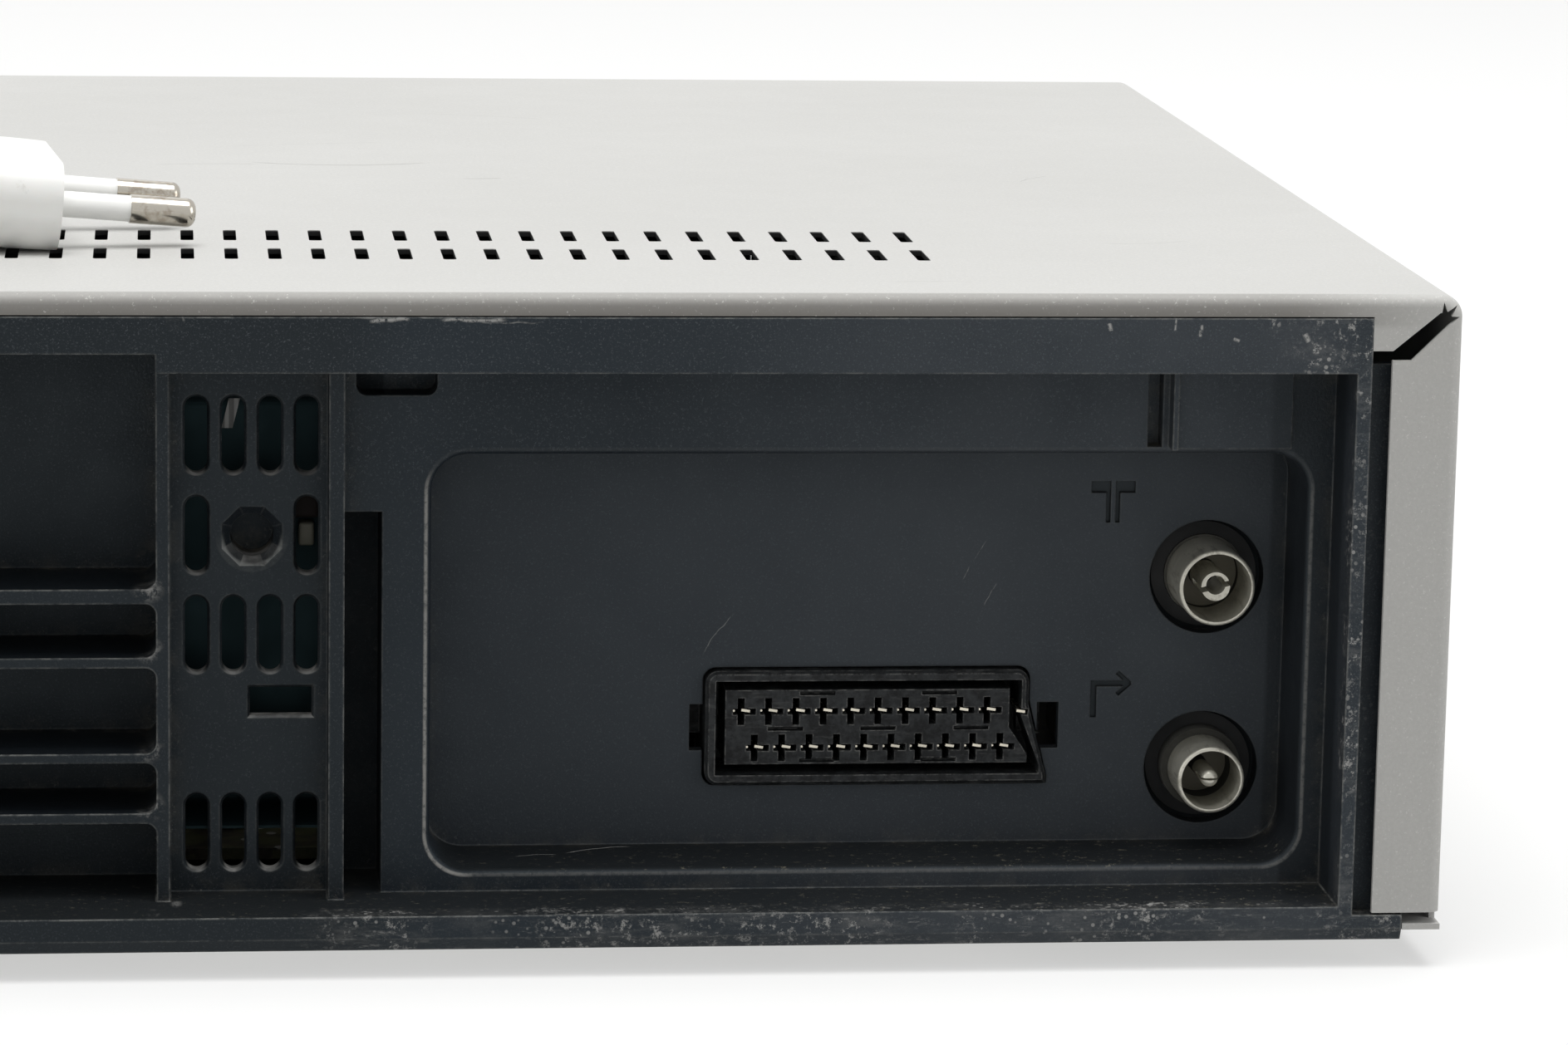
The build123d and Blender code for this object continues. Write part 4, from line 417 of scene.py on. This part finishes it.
def panel_dirt(g, axes, up, base):
    """Dust in the corners and on the sill, and the rubbed rim of the sunk field and rubbed edges,
    both with painted highlights.
    """
    ledge = g.ramp(up, 0.2, 0.8, 0.22, 1.0)
    dust = g.times(g.corner_dust(0.005), g.ramp(g.noise(170, 5, 0.78), 0.44, 0.62))
    base = g.mix(g.times(dust, ledge), base, (0.17, 0.155, 0.125))
    lint = g.times(g.corner_dust(0.003, 0.45, 0.9), g.ramp(g.noise(900, 4, 0.8), 0.60, 0.68))
    base = g.mix(g.times(lint, ledge), base, (0.42, 0.40, 0.36))
    # a thin line round the sunk field, rubbed and given a painted highlight, strongest on the left
    # and in the lower corners
    rim = g.rim_distance((-112.7, 40.4), (59.6, 28.6), 5.0)
    line = g.ramp(g.math("ABSOLUTE", g.math("SUBTRACT", rim, 0.00072)), 0.00036, 0.00008)
    line = g.times(line, g.between(axes["Y"], 0.1262, 0.1275, 0.12900, 0.12906))
    line = g.times(line, g.ramp(g.noise(900, 4, 0.8), 0.32, 0.56, 0.30, 1.0))
    left_side = g.ramp(axes["X"], -0.0620, -0.0550)
    right_side = g.ramp(axes["X"], -0.1640, -0.1690, 0.0, 0.45)
    lower_side = g.ramp(axes["Z"], 0.0165, 0.0125, 0.0, 0.30)
    flank = g.most(left_side, right_side, lower_side)
    flank = g.times(flank, g.ramp(axes["Z"], 0.069, 0.062))
    line = g.times(line, g.ramp(flank, 0, 1, 0.05, 1.0))
    base = g.mix(g.times(line, 0.95), base, (0.27, 0.265, 0.25))
    # the frame's lower ledge and the sill hold a dark film
    low = g.ramp(axes["Z"], *low_ledge)
    film = g.times(g.ramp(up, 0.5, 0.9), low)
    base = g.mix(g.times(film, 0.8), base, (0.0016, 0.0018, 0.0020))
    # dust along the sill of the sunk field, worst towards the right
    sill = g.times(g.ramp(up, 0.3, 0.8), low, g.ramp(axes["X"], -0.056, -0.150, 0.35, 1.0))
    motes = g.ramp(g.noise(1, 5, 0.85, g.stretched((700, 900, 900))), 0.58, 0.68)
    base = g.mix(g.times(sill, motes, 0.60), base, (0.32, 0.295, 0.225))
    # edges rubbed thin and given painted highlights, most of all on the outer frame and the ribs
    outer = g.ramp(axes["Y"], 0.127, 0.1325, 0.25, 1.0)
    rubbed = g.times(g.edges(0.00042), g.ramp(g.noise(190, 5, 0.75), 0.36, 0.62, 0.12, 1.0))
    rubbed = g.times(rubbed, g.ramp(g.noise(760, 4, 0.75), 0.30, 0.56, 0.35, 1.0))
    base = g.mix(g.times(rubbed, outer, 0.85), base, (0.24, 0.24, 0.225))
    return base, film


def frame_scuffs(g, axes):
    """Scuffed places of the outer frame: flecks, chips, streaks and a faint haze."""
    scuffs = g.spots([
        (-174, 142, 89.5, 8), (-178, 142, 86, 8), (-171, 142, 84, 7), (-177, 142, 76, 11),
        (-177, 142, 60, 10), (-177, 142, 45, 9), (-177, 142, 30, 17), (-177, 142, 11, 11),
        (-120, 142, 6, 26), (-82, 142, 6, 18), (-152, 142, 6, 24), (-45, 142, 5, 12),
        (-20, 142, 90, 3), (-165, 142, 89.5, 3),
    ])
    low_bar = g.times(g.ramp(axes["Z"], 0.0098, 0.0080), g.ramp(axes["X"], -0.040, -0.075))
    scuffs = g.most(scuffs, g.times(low_bar, 0.8))
    scuffs = g.times(scuffs, g.ramp(axes["Y"], *frame_face))
    flecks = g.ramp(g.noise(620, 6, 0.82), 0.530, 0.62)
    patches = g.ramp(g.noise(75, 4, 0.7), 0.42, 0.56)
    chips = g.times(g.ramp(g.cells(900), 0.30, 0.18), g.ramp(g.noise(130, 3, 0.6), 0.50, 0.60))
    streaked = g.stretched((260, 260, 1100), turn=(0, 0.12, 0))
    streaks = g.ramp(g.noise(1, 6, 0.82, streaked), 0.54, 0.68)
    streaks = g.times(streaks, g.ramp(axes["Z"], 0.0110, 0.0095))
    haze = g.ramp(g.noise(1, 6, 0.75, g.stretched((90, 90, 330))), 0.46, 0.66)
    haze = g.times(scuffs, haze, g.ramp(g.noise(900, 3, 0.8), 0.25, 0.65, 0.5, 1.0))
    return g.most(
        g.times(scuffs, flecks, patches), g.times(scuffs, chips, 0.8),
        g.times(streaks, scuffs, 0.45), g.times(haze, 0.18),
    )


def panel_scratches(g, axes):
    """Scratches on the upright faces, hairs on the sill, and nicks along the frame's top edge."""
    lines = g.strokes([
        (-128.7, 52, 120, 3.6, 0.2, 0.10), (-93.1, 41.6, 127, 3.8, 0.3, 0.10),
        (-131, 47, 116, 2.0, 0.1, 0.08), (-62, 88.9, 1, 5.0, 0.1, 0.16),
        (-48, 89.7, 0, 6.0, 0.1, 0.30), (-20.0, 89.9, 80, 1.0, 0.0, 0.25),
        (-103, 25, 20, 4.0, 0.2, 0.07),
    ], "XZ")
    lines = g.times(lines, g.ramp(g.noise(700, 3, 0.7), 0.35, 0.60))
    hair = g.strokes([(-76.6, 117.8, 20, 5.2, 0.9, 0.22), (-68, 121, 8, 3.0, 0.5, 0.14)], "XY")
    hair = g.times(hair, g.ramp(axes["Z"], 0.0125, 0.0121))
    nicks = g.strokes([
        (-46.9, 89.25, 0, 2.8, 0.0, 0.40), (-57.8, 89.20, 0, 4.6, 0.05, 0.32),
        (-142.2, 88.4, 84, 0.6, 0.0, 0.40), (-151.0, 88.9, 88, 1.1, 0.0, 0.22),
        (-154.4, 87.9, 90, 0.9, 0.0, 0.30), (-162.5, 89.8, 4, 1.4, 0.0, 0.45),
        (-168.8, 87.0, 60, 0.7, 0.0, 0.50), (-159.2, 86.6, 20, 0.5, 0.0, 0.35),
    ], "XZ")
    broken = g.ramp(g.noise(1500, 3, 0.7), 0.36, 0.52)
    nicks = g.times(nicks, broken, g.ramp(axes["Y"], *frame_face))
    return g.most(g.times(lines, 0.45), g.times(hair, 0.9), g.times(nicks, 0.95))


def panel_plastic():
    """The rear panel's charcoal plastic with all of its wear and dirt, painted highlights, and
    painted shade in its hollows.
    """
    g = Graph("panel_plastic")
    axes = g.split()
    up = g.split(g.add("TexCoord").outputs["Normal"])["Z"]
    base, film = panel_dirt(g, axes, up, panel_tone(g, axes))
    # worn, dusty lower right corners of the cells, with a painted highlight
    flattened = g.stretched((1, 0.4, 1), move=(0, 0.0804, 0))
    corners = g.spots([
        (-15.4, 134, 51.8, 2.6), (-15.4, 134, 43.4, 2.4), (-15.4, 134, 29.9, 2.4),
        (-15.4, 134, 22.0, 2.6), (-16.0, 136, 9.8, 1.5), (-19.0, 134, 9.4, 1.2),
        (-38.6, 136, 9.8, 1.4),
    ], flattened)
    corners = g.times(corners, g.ramp(g.noise(520, 5, 0.8), 0.44, 0.58))
    # lit lower ends of the vent slots
    from_middle = g.math("ABSOLUTE", g.math("ADD", axes["X"], 0.0285))
    ends = g.times(
        g.ramp(up, 0.35, 0.85), g.between(axes["Y"], 0.1235, 0.1245, 0.1274, 0.1276),
        g.ramp(from_middle, 0.0112, 0.0108), g.ramp(g.noise(300, 3, 0.6), 0.34, 0.60, 0.35, 1.0),
    )
    # scuffs and scratches, together with the painted highlights of the cells' corners and the
    # slots' ends
    marks = g.most(
        frame_scuffs(g, axes), g.times(corners, 0.7), g.times(ends, 0.8), panel_scratches(g, axes),
    )
    base = g.mix(marks, base, (0.36, 0.355, 0.34))
    # painted highlight on the lower lip of the adjuster's eight-sided mouth
    key = g.axis_distance(*adjuster)
    lip = g.times(
        g.between(key, 0.0036, 0.0040, 0.0047, 0.0050), g.ramp(axes["Z"], 0.0585, 0.0555),
        g.ramp(axes["Y"], 0.12752, 0.12742), g.ramp(g.noise(420, 3, 0.7), 0.34, 0.56, 0.25, 1.0),
    )
    base = g.mix(g.times(lip, 0.8), base, (0.30, 0.31, 0.30))
    # painted shade darkens the bottom of the engraved signs' strokes
    engraved = g.between(axes["Y"], 0.11470, 0.11485, 0.11534, 0.11546)
    base = g.mix(g.times(engraved, 0.85), base, (0.0018, 0.0024, 0.0032))
    # painted shade keeps the cups round the aerial sockets, the adjuster's bore and the deep pocket
    # very dark
    cups = g.math("MINIMUM", g.axis_distance(*socket_in), g.axis_distance(*socket_out))
    hollow_shade = g.times(g.ramp(cups, 0.0083, 0.0078), g.ramp(axes["Y"], 0.1156, 0.1148))
    bore = g.times(g.ramp(key, 0.0031, 0.0028), g.ramp(axes["Y"], 0.1265, 0.1255))
    pocket = g.between(axes["X"], -0.0470, -0.0466, -0.0416, -0.0412)
    pocket = g.times(pocket, g.ramp(axes["Y"], 0.1286, 0.1262))
    hollow_shade = g.most(hollow_shade, g.times(bore, 0.30), g.times(pocket, 0.55))
    base = g.mix(hollow_shade, base, (0.0012, 0.0016, 0.0022))
    roughness = g.ramp(g.noise(90, 4, 0.6), 0.3, 0.7, 0.42, 0.52)
    roughness = g.math("ADD", roughness, g.times(g.most(hollow_shade, film), 0.3))
    upper = g.ramp(axes["Z"], *upper_band)
    coarse = g.times(g.noise(2600, 3, 0.7), g.ramp(upper, 0, 1, 0.5, 1.0))
    rounded = g.add("Bevel", {"samples": 4}, Radius=0.00035).outputs[0]
    normal = g.bump(coarse, 0.5, 0.00012, rounded)
    normal = g.bump(g.noise(120, 3, 0.5), 0.15, 0.0003, normal)
    return g.shader(
        Base_Color=base, Roughness=roughness, Normal=normal, Specular_IOR_Level=0.30,
        Specular_Tint=(0.82, 0.94, 1.0),
    )


def nickel():
    """Tarnished nickel of the aerial sockets, with painted shade making them very dark in their
    depths.
    """
    g = Graph("nickel")
    axes = g.split()
    cloud = g.ramp(g.noise(150, 5, 0.7), 0.35, 0.65)
    base = g.mix(cloud, (0.52, 0.505, 0.43), (0.72, 0.70, 0.61))
    streaks = g.ramp(g.noise(1, 4, 0.7, g.stretched((620, 90, 620))), 0.50, 0.66)
    base = g.mix(g.times(streaks, 0.5), base, (0.17, 0.15, 0.11))
    # the shells darken towards their roots
    low = g.ramp(axes["Z"], 0.040, 0.032)
    root = g.ramp(axes["Y"], 0.1205, 0.1145)
    base = g.mix(g.times(root, g.ramp(low, 0, 1, 0.10, 0.50)), base, (0.16, 0.155, 0.115))
    # painted shade keeps the base rings and the depths of the bores dark
    depth = g.ramp(axes["Y"], g.ramp(low, 0, 1, 0.1139, 0.1162), g.ramp(low, 0, 1, 0.1133, 0.1156))
    base = g.mix(g.times(depth, 0.93), base, (0.02, 0.02, 0.018))
    rings = g.noise(1, 3, 0.6, g.stretched((300, 2600, 300)))
    roughness = g.math("ADD", g.times(rings, 0.18), g.ramp(depth, 0, 1, 0.26, 0.8))
    metallic = g.ramp(depth, 0, 1, 0.45, 0.0)
    normal = g.bump(rings, 0.1, 0.00005)
    return g.shader(Base_Color=base, Metallic=metallic, Roughness=roughness, Normal=normal)


def phenolic_board():
    """Brown circuit board with lanes and solder pads."""
    g = Graph("circuit_board")
    mottle = g.ramp(g.noise(280, 5, 0.7), 0.36, 0.66)
    base = g.mix(mottle, (0.016, 0.014, 0.010), (0.070, 0.060, 0.038))
    lane = g.ramp(g.cells(90, "DISTANCE_TO_EDGE"), 0.06, 0.09)
    base = g.mix(g.times(lane, 0.25), base, (0.13, 0.16, 0.06))
    pads = g.ramp(g.cells(260), 0.22, 0.17)
    base = g.mix(pads, base, (0.5, 0.5, 0.48))
    return g.shader(
        Base_Color=base, Metallic=g.times(pads, 0.8), Roughness=0.45,
        Normal=g.bump(pads, 0.3, 0.0002),
    )


def cord_plastic(name, colour):
    """Soft plastic of the lead and plug, with a little grime."""
    g = Graph(name)
    base = g.mix(g.ramp(g.noise(30, 4, 0.6), 0.35, 0.65), colour, scaled(colour, 0.9))
    grime = g.times(g.ramp(g.noise(260, 5, 0.7), 0.58, 0.72), 0.35)
    base = g.mix(grime, base, (0.34, 0.32, 0.27))
    return g.shader(
        Base_Color=base, Roughness=0.38, Normal=g.bump(g.noise(500, 3, 0.5), 0.1, 0.00008),
        Subsurface_Weight=0.05, Subsurface_Scale=0.001,
    )


def gloss_plastic(name, colour, rough):
    """Dark, shiny plastic with rubbed edges."""
    g = Graph(name)
    base = g.mix(g.ramp(g.noise(80, 4, 0.6), 0.35, 0.7), colour, scaled(colour, 1.2))
    worn = g.times(g.edges(0.00025), g.ramp(g.noise(400, 3, 0.7), 0.4, 0.65))
    base = g.mix(g.times(worn, 0.4), base, (0.16, 0.16, 0.16))
    roughness = g.ramp(g.noise(200, 4, 0.6), 0.3, 0.7, rough, rough + 0.05)
    normal = g.bump(g.noise(900, 2, 0.5), 0.08, 0.00006)
    return g.shader(Base_Color=base, Roughness=roughness, Normal=normal)


def connector_plastic():
    """Black glass-filled plastic with a rough, streaky face and light, scraped edges."""
    g = Graph("connector_plastic")
    mottle = g.ramp(g.noise(420, 5, 0.75), 0.36, 0.68)
    base = g.mix(mottle, (0.0055, 0.0060, 0.0066), (0.027, 0.030, 0.032))
    streak = g.ramp(g.noise(1, 4, 0.7, g.stretched((260, 400, 1500))), 0.54, 0.68)
    base = g.mix(g.times(streak, 0.6), base, (0.060, 0.061, 0.061))
    worn = g.times(g.edges(0.00030), g.ramp(g.noise(620, 5, 0.8), 0.44, 0.58))
    base = g.mix(g.times(worn, 0.85), base, (0.24, 0.24, 0.23))
    roughness = g.ramp(mottle, 0, 1, 0.58, 0.42)
    normal = g.bump(g.noise(900, 4, 0.7), 0.35, 0.00012)
    return g.shader(Base_Color=base, Roughness=roughness, Normal=normal, Specular_IOR_Level=0.25)


def flat_cable():
    """Grey flat cable with its conductors showing as stripes."""
    g = Graph("cable_grey")
    conductor_spacing = 0.00125
    stripe = g.math("SINE", g.times(g.split()["X"], math.tau / conductor_spacing))
    base = g.mix(g.ramp(stripe, -0.2, 0.5), (0.30, 0.30, 0.29), (0.72, 0.72, 0.70))
    return g.shader(Base_Color=base, Roughness=0.4, Normal=g.bump(stripe, 0.3, 0.0002))


def plug_metal():
    """White sleeves next to the plug's face, nickel beyond them."""
    g = Graph("pin_nickel")
    pin_axis, plug_face, sleeve_length = (-0.9894, -0.1162, -0.0872), mm(-2, 91.2, 98.9), 0.010
    along = g.add("VectorMath", {"operation": "DOT_PRODUCT"}, g.coords, pin_axis).outputs["Value"]
    sleeve_end = plug_face.dot(Vector(pin_axis)) + sleeve_length
    bare = g.ramp(along, sleeve_end - 0.00005, sleeve_end + 0.00005)
    stain = g.times(g.ramp(g.noise(420, 5, 0.7), 0.5, 0.66), 0.5)
    metal = g.mix(stain, (0.50, 0.47, 0.41), (0.22, 0.16, 0.11))
    base = g.mix(bare, (0.84, 0.84, 0.82), metal)
    roughness = g.ramp(bare, 0, 1, 0.4, 0.2)
    return g.shader(Base_Color=base, Metallic=g.times(bare, 0.95), Roughness=roughness)


paint = cover_paint()
panel = panel_plastic()
fascia = moulded("fascia_plastic", (0.40, 0.40, 0.385), 0.42, 1300, 0.12, (0.50, 0.50, 0.48), 0.03)
button = moulded("button_plastic", (0.27, 0.27, 0.265), 0.36, 1500, 0.08, (0.40, 0.40, 0.39), 0.04)
flap = gloss_plastic("flap_plastic", (0.035, 0.036, 0.04), 0.3)
window = gloss_plastic("window_acrylic", (0.012, 0.008, 0.012), 0.08)
rubber = moulded("rubber", (0.022, 0.022, 0.022), 0.75, 700, 0.3, (0.06, 0.06, 0.06))
steel = sheet_metal("steel", (0.60, 0.60, 0.575))
screw = sheet_metal("screw_steel", (0.16, 0.16, 0.165), 0.42, (300, 300, 300))
board = phenolic_board()
dull_nickel = nickel()
insulator = moulded("insulator", (0.20, 0.185, 0.145), 0.5, 900, 0.15, (0.3, 0.28, 0.22))
connector = connector_plastic()
tinned = sheet_metal("contact_metal", (0.66, 0.62, 0.52), 0.26, (900, 900, 900))
iron = moulded("transformer_iron", (0.16, 0.13, 0.10), 0.5, 400, 0.3, (0.3, 0.27, 0.22))
aluminium = sheet_metal("aluminium", (0.74, 0.75, 0.76), 0.26, (60, 60, 2200))
sleeve = gloss_plastic("capacitor_sleeve", (0.02, 0.03, 0.09), 0.22)
white_cord = cord_plastic("cord_white", (0.80, 0.80, 0.775))
acetal = moulded("white_plastic", (0.72, 0.71, 0.66), 0.4, 800, 0.1, (0.8, 0.79, 0.75), 0.04)

dress(paint, "top_cover")
dress(panel, "rear_panel", "strain_relief")
dress(fascia, "front_fascia")
dress(flap, "cassette_flap")
dress(window, "display_window")
dress(button, *[name for name in nodes if name.endswith("_button")])
dress(rubber, "rubber_feet", "drive_belt", "pinch_roller", "idler_wheel")
dress(screw, "cover_screws")
dress(steel, "bottom_tray", "deck_plate", "lift_brackets", "holder_slides", "cassette_holder",
      "tuner_can", "pinch_arm", "tension_arm", "idler_arm")
dress(board, "main_board", "display_board")
dress(dull_nickel, "aerial_in_barrel", "aerial_out_barrel", "aerial_in_contact", "aerial_out_pin")
dress(insulator, "aerial_insulators")
dress(connector, "scart_housing")
dress(tinned, "scart_contacts")
dress(iron, "power_transformer")
dress(sleeve, "smoothing_capacitor")
dress(aluminium, "heat_sink", "drum_base", "head_drum", "erase_head", "audio_control_head",
      "capstan_flywheel", "loading_motor")
dress(acetal, "supply_reel", "take_up_reel", "clutch_pulley", "cam_gear", "motor_pinion",
      "supply_guide", "take_up_guide")
dress(white_cord, "plug_body")
mains_cord.data.materials.append(white_cord)
dress(flat_cable(), "ribbon_cable")
dress(plug_metal(), "plug_pins")


# ---- Small pieces ----
def mesh_piece(name, mesh, slot, material):
    """Turn a finished bmesh into a piece."""
    data = bpy.data.meshes.new(name)
    mesh.to_mesh(data)
    mesh.free()
    data.materials.append(material)
    return add_piece(name, data, slot)


def rounded_path(corners, radius, closed=False, steps=5):
    """A polyline in two dimensions with its corners rounded."""
    points = []
    count = len(corners)
    for index, corner in enumerate(corners):
        here = Vector(corner)
        if not closed and index in (0, count - 1):
            points.append(here)
            continue
        before = (Vector(corners[index - 1]) - here).normalized()
        after = (Vector(corners[(index + 1) % count]) - here).normalized()
        start, end = here + before * radius, here + after * radius
        for step in range(steps + 1):
            t = step / steps
            points.append((1 - t) ** 2 * start + 2 * t * (1 - t) * here + t * t * end)
    return points


def bridge(mesh, rings):
    """Join rings of vertices, each to the next, with faces."""
    for first, second in rings:
        count = len(first)
        for k in range(count):
            after = (k + 1) % count
            mesh.faces.new((first[k], first[after], second[after], second[k]))


def strap(name, path, width, thickness, place, slot, material, closed=False):
    """A thin sheet along a path. place turns (along width, path u, path v) into millimetres."""
    count = len(path)
    mesh = bmesh.new()
    rings = []
    for index, point in enumerate(path):
        before = path[index - 1] if closed or index else point
        after = path[(index + 1) % count] if closed or index < count - 1 else point
        run = (after - before).normalized()
        out = Vector((run.y, -run.x)) * thickness
        ring = []
        for side, level in ((-1, 0), (1, 0), (1, 1), (-1, 1)):
            spot = point + out * level
            ring.append(mesh.verts.new(mm(*place(side * width / 2, spot.x, spot.y))))
        rings.append(ring)
    bridge(mesh, zip(rings, rings[1:]))
    if closed:
        bridge(mesh, [(rings[-1], rings[0])])
    else:
        mesh.faces.new(rings[0][::-1])
        mesh.faces.new(rings[-1])
    bmesh.ops.recalc_face_normals(mesh, faces=mesh.faces)
    return mesh_piece(name, mesh, slot, material)


def block(name, centre, size, corner, slot, material):
    """A box with rounded edges, in millimetres."""
    mesh = bmesh.new()
    bmesh.ops.create_cube(mesh, size=1.0)
    bmesh.ops.scale(mesh, vec=mm(*size), verts=mesh.verts)
    bmesh.ops.bevel(
        mesh, geom=mesh.edges[:] + mesh.verts[:], offset=corner * 0.001, segments=3, profile=0.5,
        affect="EDGES",
    )
    bmesh.ops.translate(mesh, vec=mm(*centre), verts=mesh.verts)
    for face in mesh.faces:
        face.smooth = True
    return mesh_piece(name, mesh, slot, material)


def ring(name, centre, radii, thickness, slot, material, steps=64):
    """A flat ring round an axis along Y, its front face at the centre's Y, in millimetres."""
    mesh = bmesh.new()
    loops = []
    for radius, y in ((radii[0], 0), (radii[1], 0), (radii[1], -thickness), (radii[0], -thickness)):
        loops.append([
            mesh.verts.new(mm(
                centre[0] + radius * math.cos(math.tau * k / steps), centre[1] + y,
                centre[2] + radius * math.sin(math.tau * k / steps),
            )) for k in range(steps)
        ])
    bridge(mesh, zip(loops, loops[1:] + loops[:1]))
    bmesh.ops.recalc_face_normals(mesh, faces=mesh.faces)
    return mesh_piece(name, mesh, slot, material)


card = moulded("insulation_card", (0.0045, 0.0085, 0.0100), 0.6, 500, 0.2, (0.02, 0.025, 0.028),
               tint=(0.55, 0.92, 1.0))
film = moulded("film_lacquer", (0.24, 0.235, 0.185), 0.5, 700, 0.15, (0.30, 0.29, 0.24))
brown = moulded("brown_lacquer", (0.010, 0.005, 0.004), 0.75, 600, 0.2, (0.02, 0.012, 0.01))
tie = moulded("tie_plastic", (0.62, 0.62, 0.60), 0.4, 500, 0.1, (0.7, 0.7, 0.68))
gasket = moulded("gasket", (0.004, 0.0045, 0.005), 0.7, 700, 0.2, (0.012, 0.013, 0.014))
tail = flat_cable()

# insulation card folded against the back of the vent panel, with what stands on its face
card_face, card_ends, card_middle, card_width, card_thickness = 118.0, 125.4, -28.4, 20.6, 0.4
card_path = [(card_ends, 17.0), (card_face, 19.0), (card_face, 75.0), (card_ends, 79.5)]
strap(
    "insulation_card", rounded_path(card_path, 1.5), card_width, card_thickness,
    lambda w, y, z: (card_middle + w, y, z), "fascia_plastic", card,
)
# a short end of flat cable leans across the card
tail_foot, tail_lean, tail_width, tail_thickness = (-26.0, 71), -0.24, 1.5, 0.3
tail_path = [(card_face + 0.2, 70.9), (card_face + 0.7, 74.0), (card_face + 0.5, 79.0)]
strap(
    "cable_tail", rounded_path(tail_path, 1.0), tail_width, tail_thickness,
    lambda w, y, z: (tail_foot[0] + tail_lean * (z - tail_foot[1]) + w, y, z), "cable_grey", tail,
)
block("film_capacitor", (-36.6, card_face + 1.5, 56.7), (2.1, 3.0, 3.2), 0.4, "insulator", film)
block("brown_capacitor", (-36.2, card_face + 1.5, 60.9), (4.4, 3.0, 4.0), 0.7, "insulator", brown)

# insulating washers at the roots of the aerial sockets
washer_radii, washer_face, washer_thickness = (5.65, 7.4), 113.0, 0.45
for number, (x, z) in enumerate((socket_in, socket_out)):
    ring(
        f"socket_washer_{number}", (x, washer_face, z), washer_radii, washer_thickness,
        "black_rubber", gasket,
    )

# two ties hold the coiled lead; each loop goes round both of its levels
tie_width, tie_thickness, tie_corner = 3.2, 0.15, 2.2
tie_inner, tie_outer, tie_bottom, tie_top = 18.6, 43.2, 93.1, 105.3
tie_angles = (65, 245)
for number, angle in enumerate(tie_angles):
    way = Vector((math.cos(math.radians(angle)), math.sin(math.radians(angle))))
    across = Vector((-way.y, way.x))

    def on_coil(w, r, z, way=way, across=across):
        return (coil_x + way.x * r + across.x * w, coil_y + way.y * r + across.y * w, z)

    corners = [
        (tie_inner, tie_bottom), (tie_outer, tie_bottom),
        (tie_outer, tie_top), (tie_inner, tie_top),
    ]
    loop = rounded_path(corners, tie_corner, closed=True)
    strap(
        f"coil_tie_{number}", loop, tie_width, -tie_thickness, on_coil, "white_plastic", tie,
        closed=True,
    )

# ---- Floor and light ----
floor_radius = 12.0
floor_data = bpy.data.meshes.new("floor")
ground = bmesh.new()
bmesh.ops.create_circle(ground, cap_ends=True, segments=96, radius=floor_radius)
ground.to_mesh(floor_data)
ground.free()
floor = bpy.data.objects.new("floor", floor_data)
bpy.context.collection.objects.link(floor)


def seen_rays(g):
    """One for the rays that show the background to the eye, directly or in metal and glass."""
    path = g.add("LightPath").outputs
    return g.most(path["Is Camera Ray"], path["Is Glossy Ray"], path["Is Transmission Ray"])


def floor_finish():
    """Pale to the eye and in reflections, and greyer where it only throws light back."""
    g = Graph("floor_finish")
    seen = seen_rays(g)
    colour = g.mix(seen, (0.45, 0.45, 0.445), (0.86, 0.86, 0.855))
    diffuse = g.add("BsdfDiffuse", None, Color=colour, Roughness=1.0)
    glow = g.add("Emission", None, Color=(1, 1, 0.996), Strength=1.0)
    blend = g.add("MixShader", None, g.times(seen, 0.45), diffuse, glow)
    out = g.add("OutputMaterial")
    g.tree.links.new(blend.outputs[0], out.inputs[0])
    return g.material


floor_data.materials.append(floor_finish())


def lamp(name, place, target, size, power):
    """A soft rectangular lamp, in metres and watts, turned towards its target."""
    data = bpy.data.lights.new(name, "AREA")
    data.shape = "RECTANGLE"
    data.size, data.size_y = size
    data.energy = power
    made = bpy.data.objects.new(name, data)
    bpy.context.collection.objects.link(made)
    made.location = place
    made.rotation_mode = "QUATERNION"
    made.rotation_quaternion = (Vector(target) - Vector(place)).to_track_quat("-Z", "Y")


lamp("key", (-0.1, 0.3, 1.9), (0, 0, 0), (1.5, 1.2), 33.5)
lamp("left", (1.9, 0.9, 0.8), (0, 0.1, 0.05), (1.2, 1.4), 6)
lamp("right", (-1.9, 0.9, 0.8), (0, 0.1, 0.05), (1.2, 1.4), 11)
lamp("front", (0.4, -1.7, 1.5), (0, -0.1, 0.05), (1.4, 1.2), 2.5)


def studio_sky():
    """Pale to the eye and in reflections, and dimmer where it only lights the object."""
    g = Graph("studio_sky", bpy.data.worlds.new("world"))
    strength = g.ramp(seen_rays(g), 0, 1, 0.42, 0.86)
    back = g.add("Background", None, Color=(1, 1, 1), Strength=strength)
    g.tree.links.new(back.outputs[0], g.add("OutputWorld").inputs[0])
    return g.material


bpy.context.scene.world = studio_sky()
bpy.context.scene.view_settings.view_transform = "Standard"

bpy.context.view_layer.update()
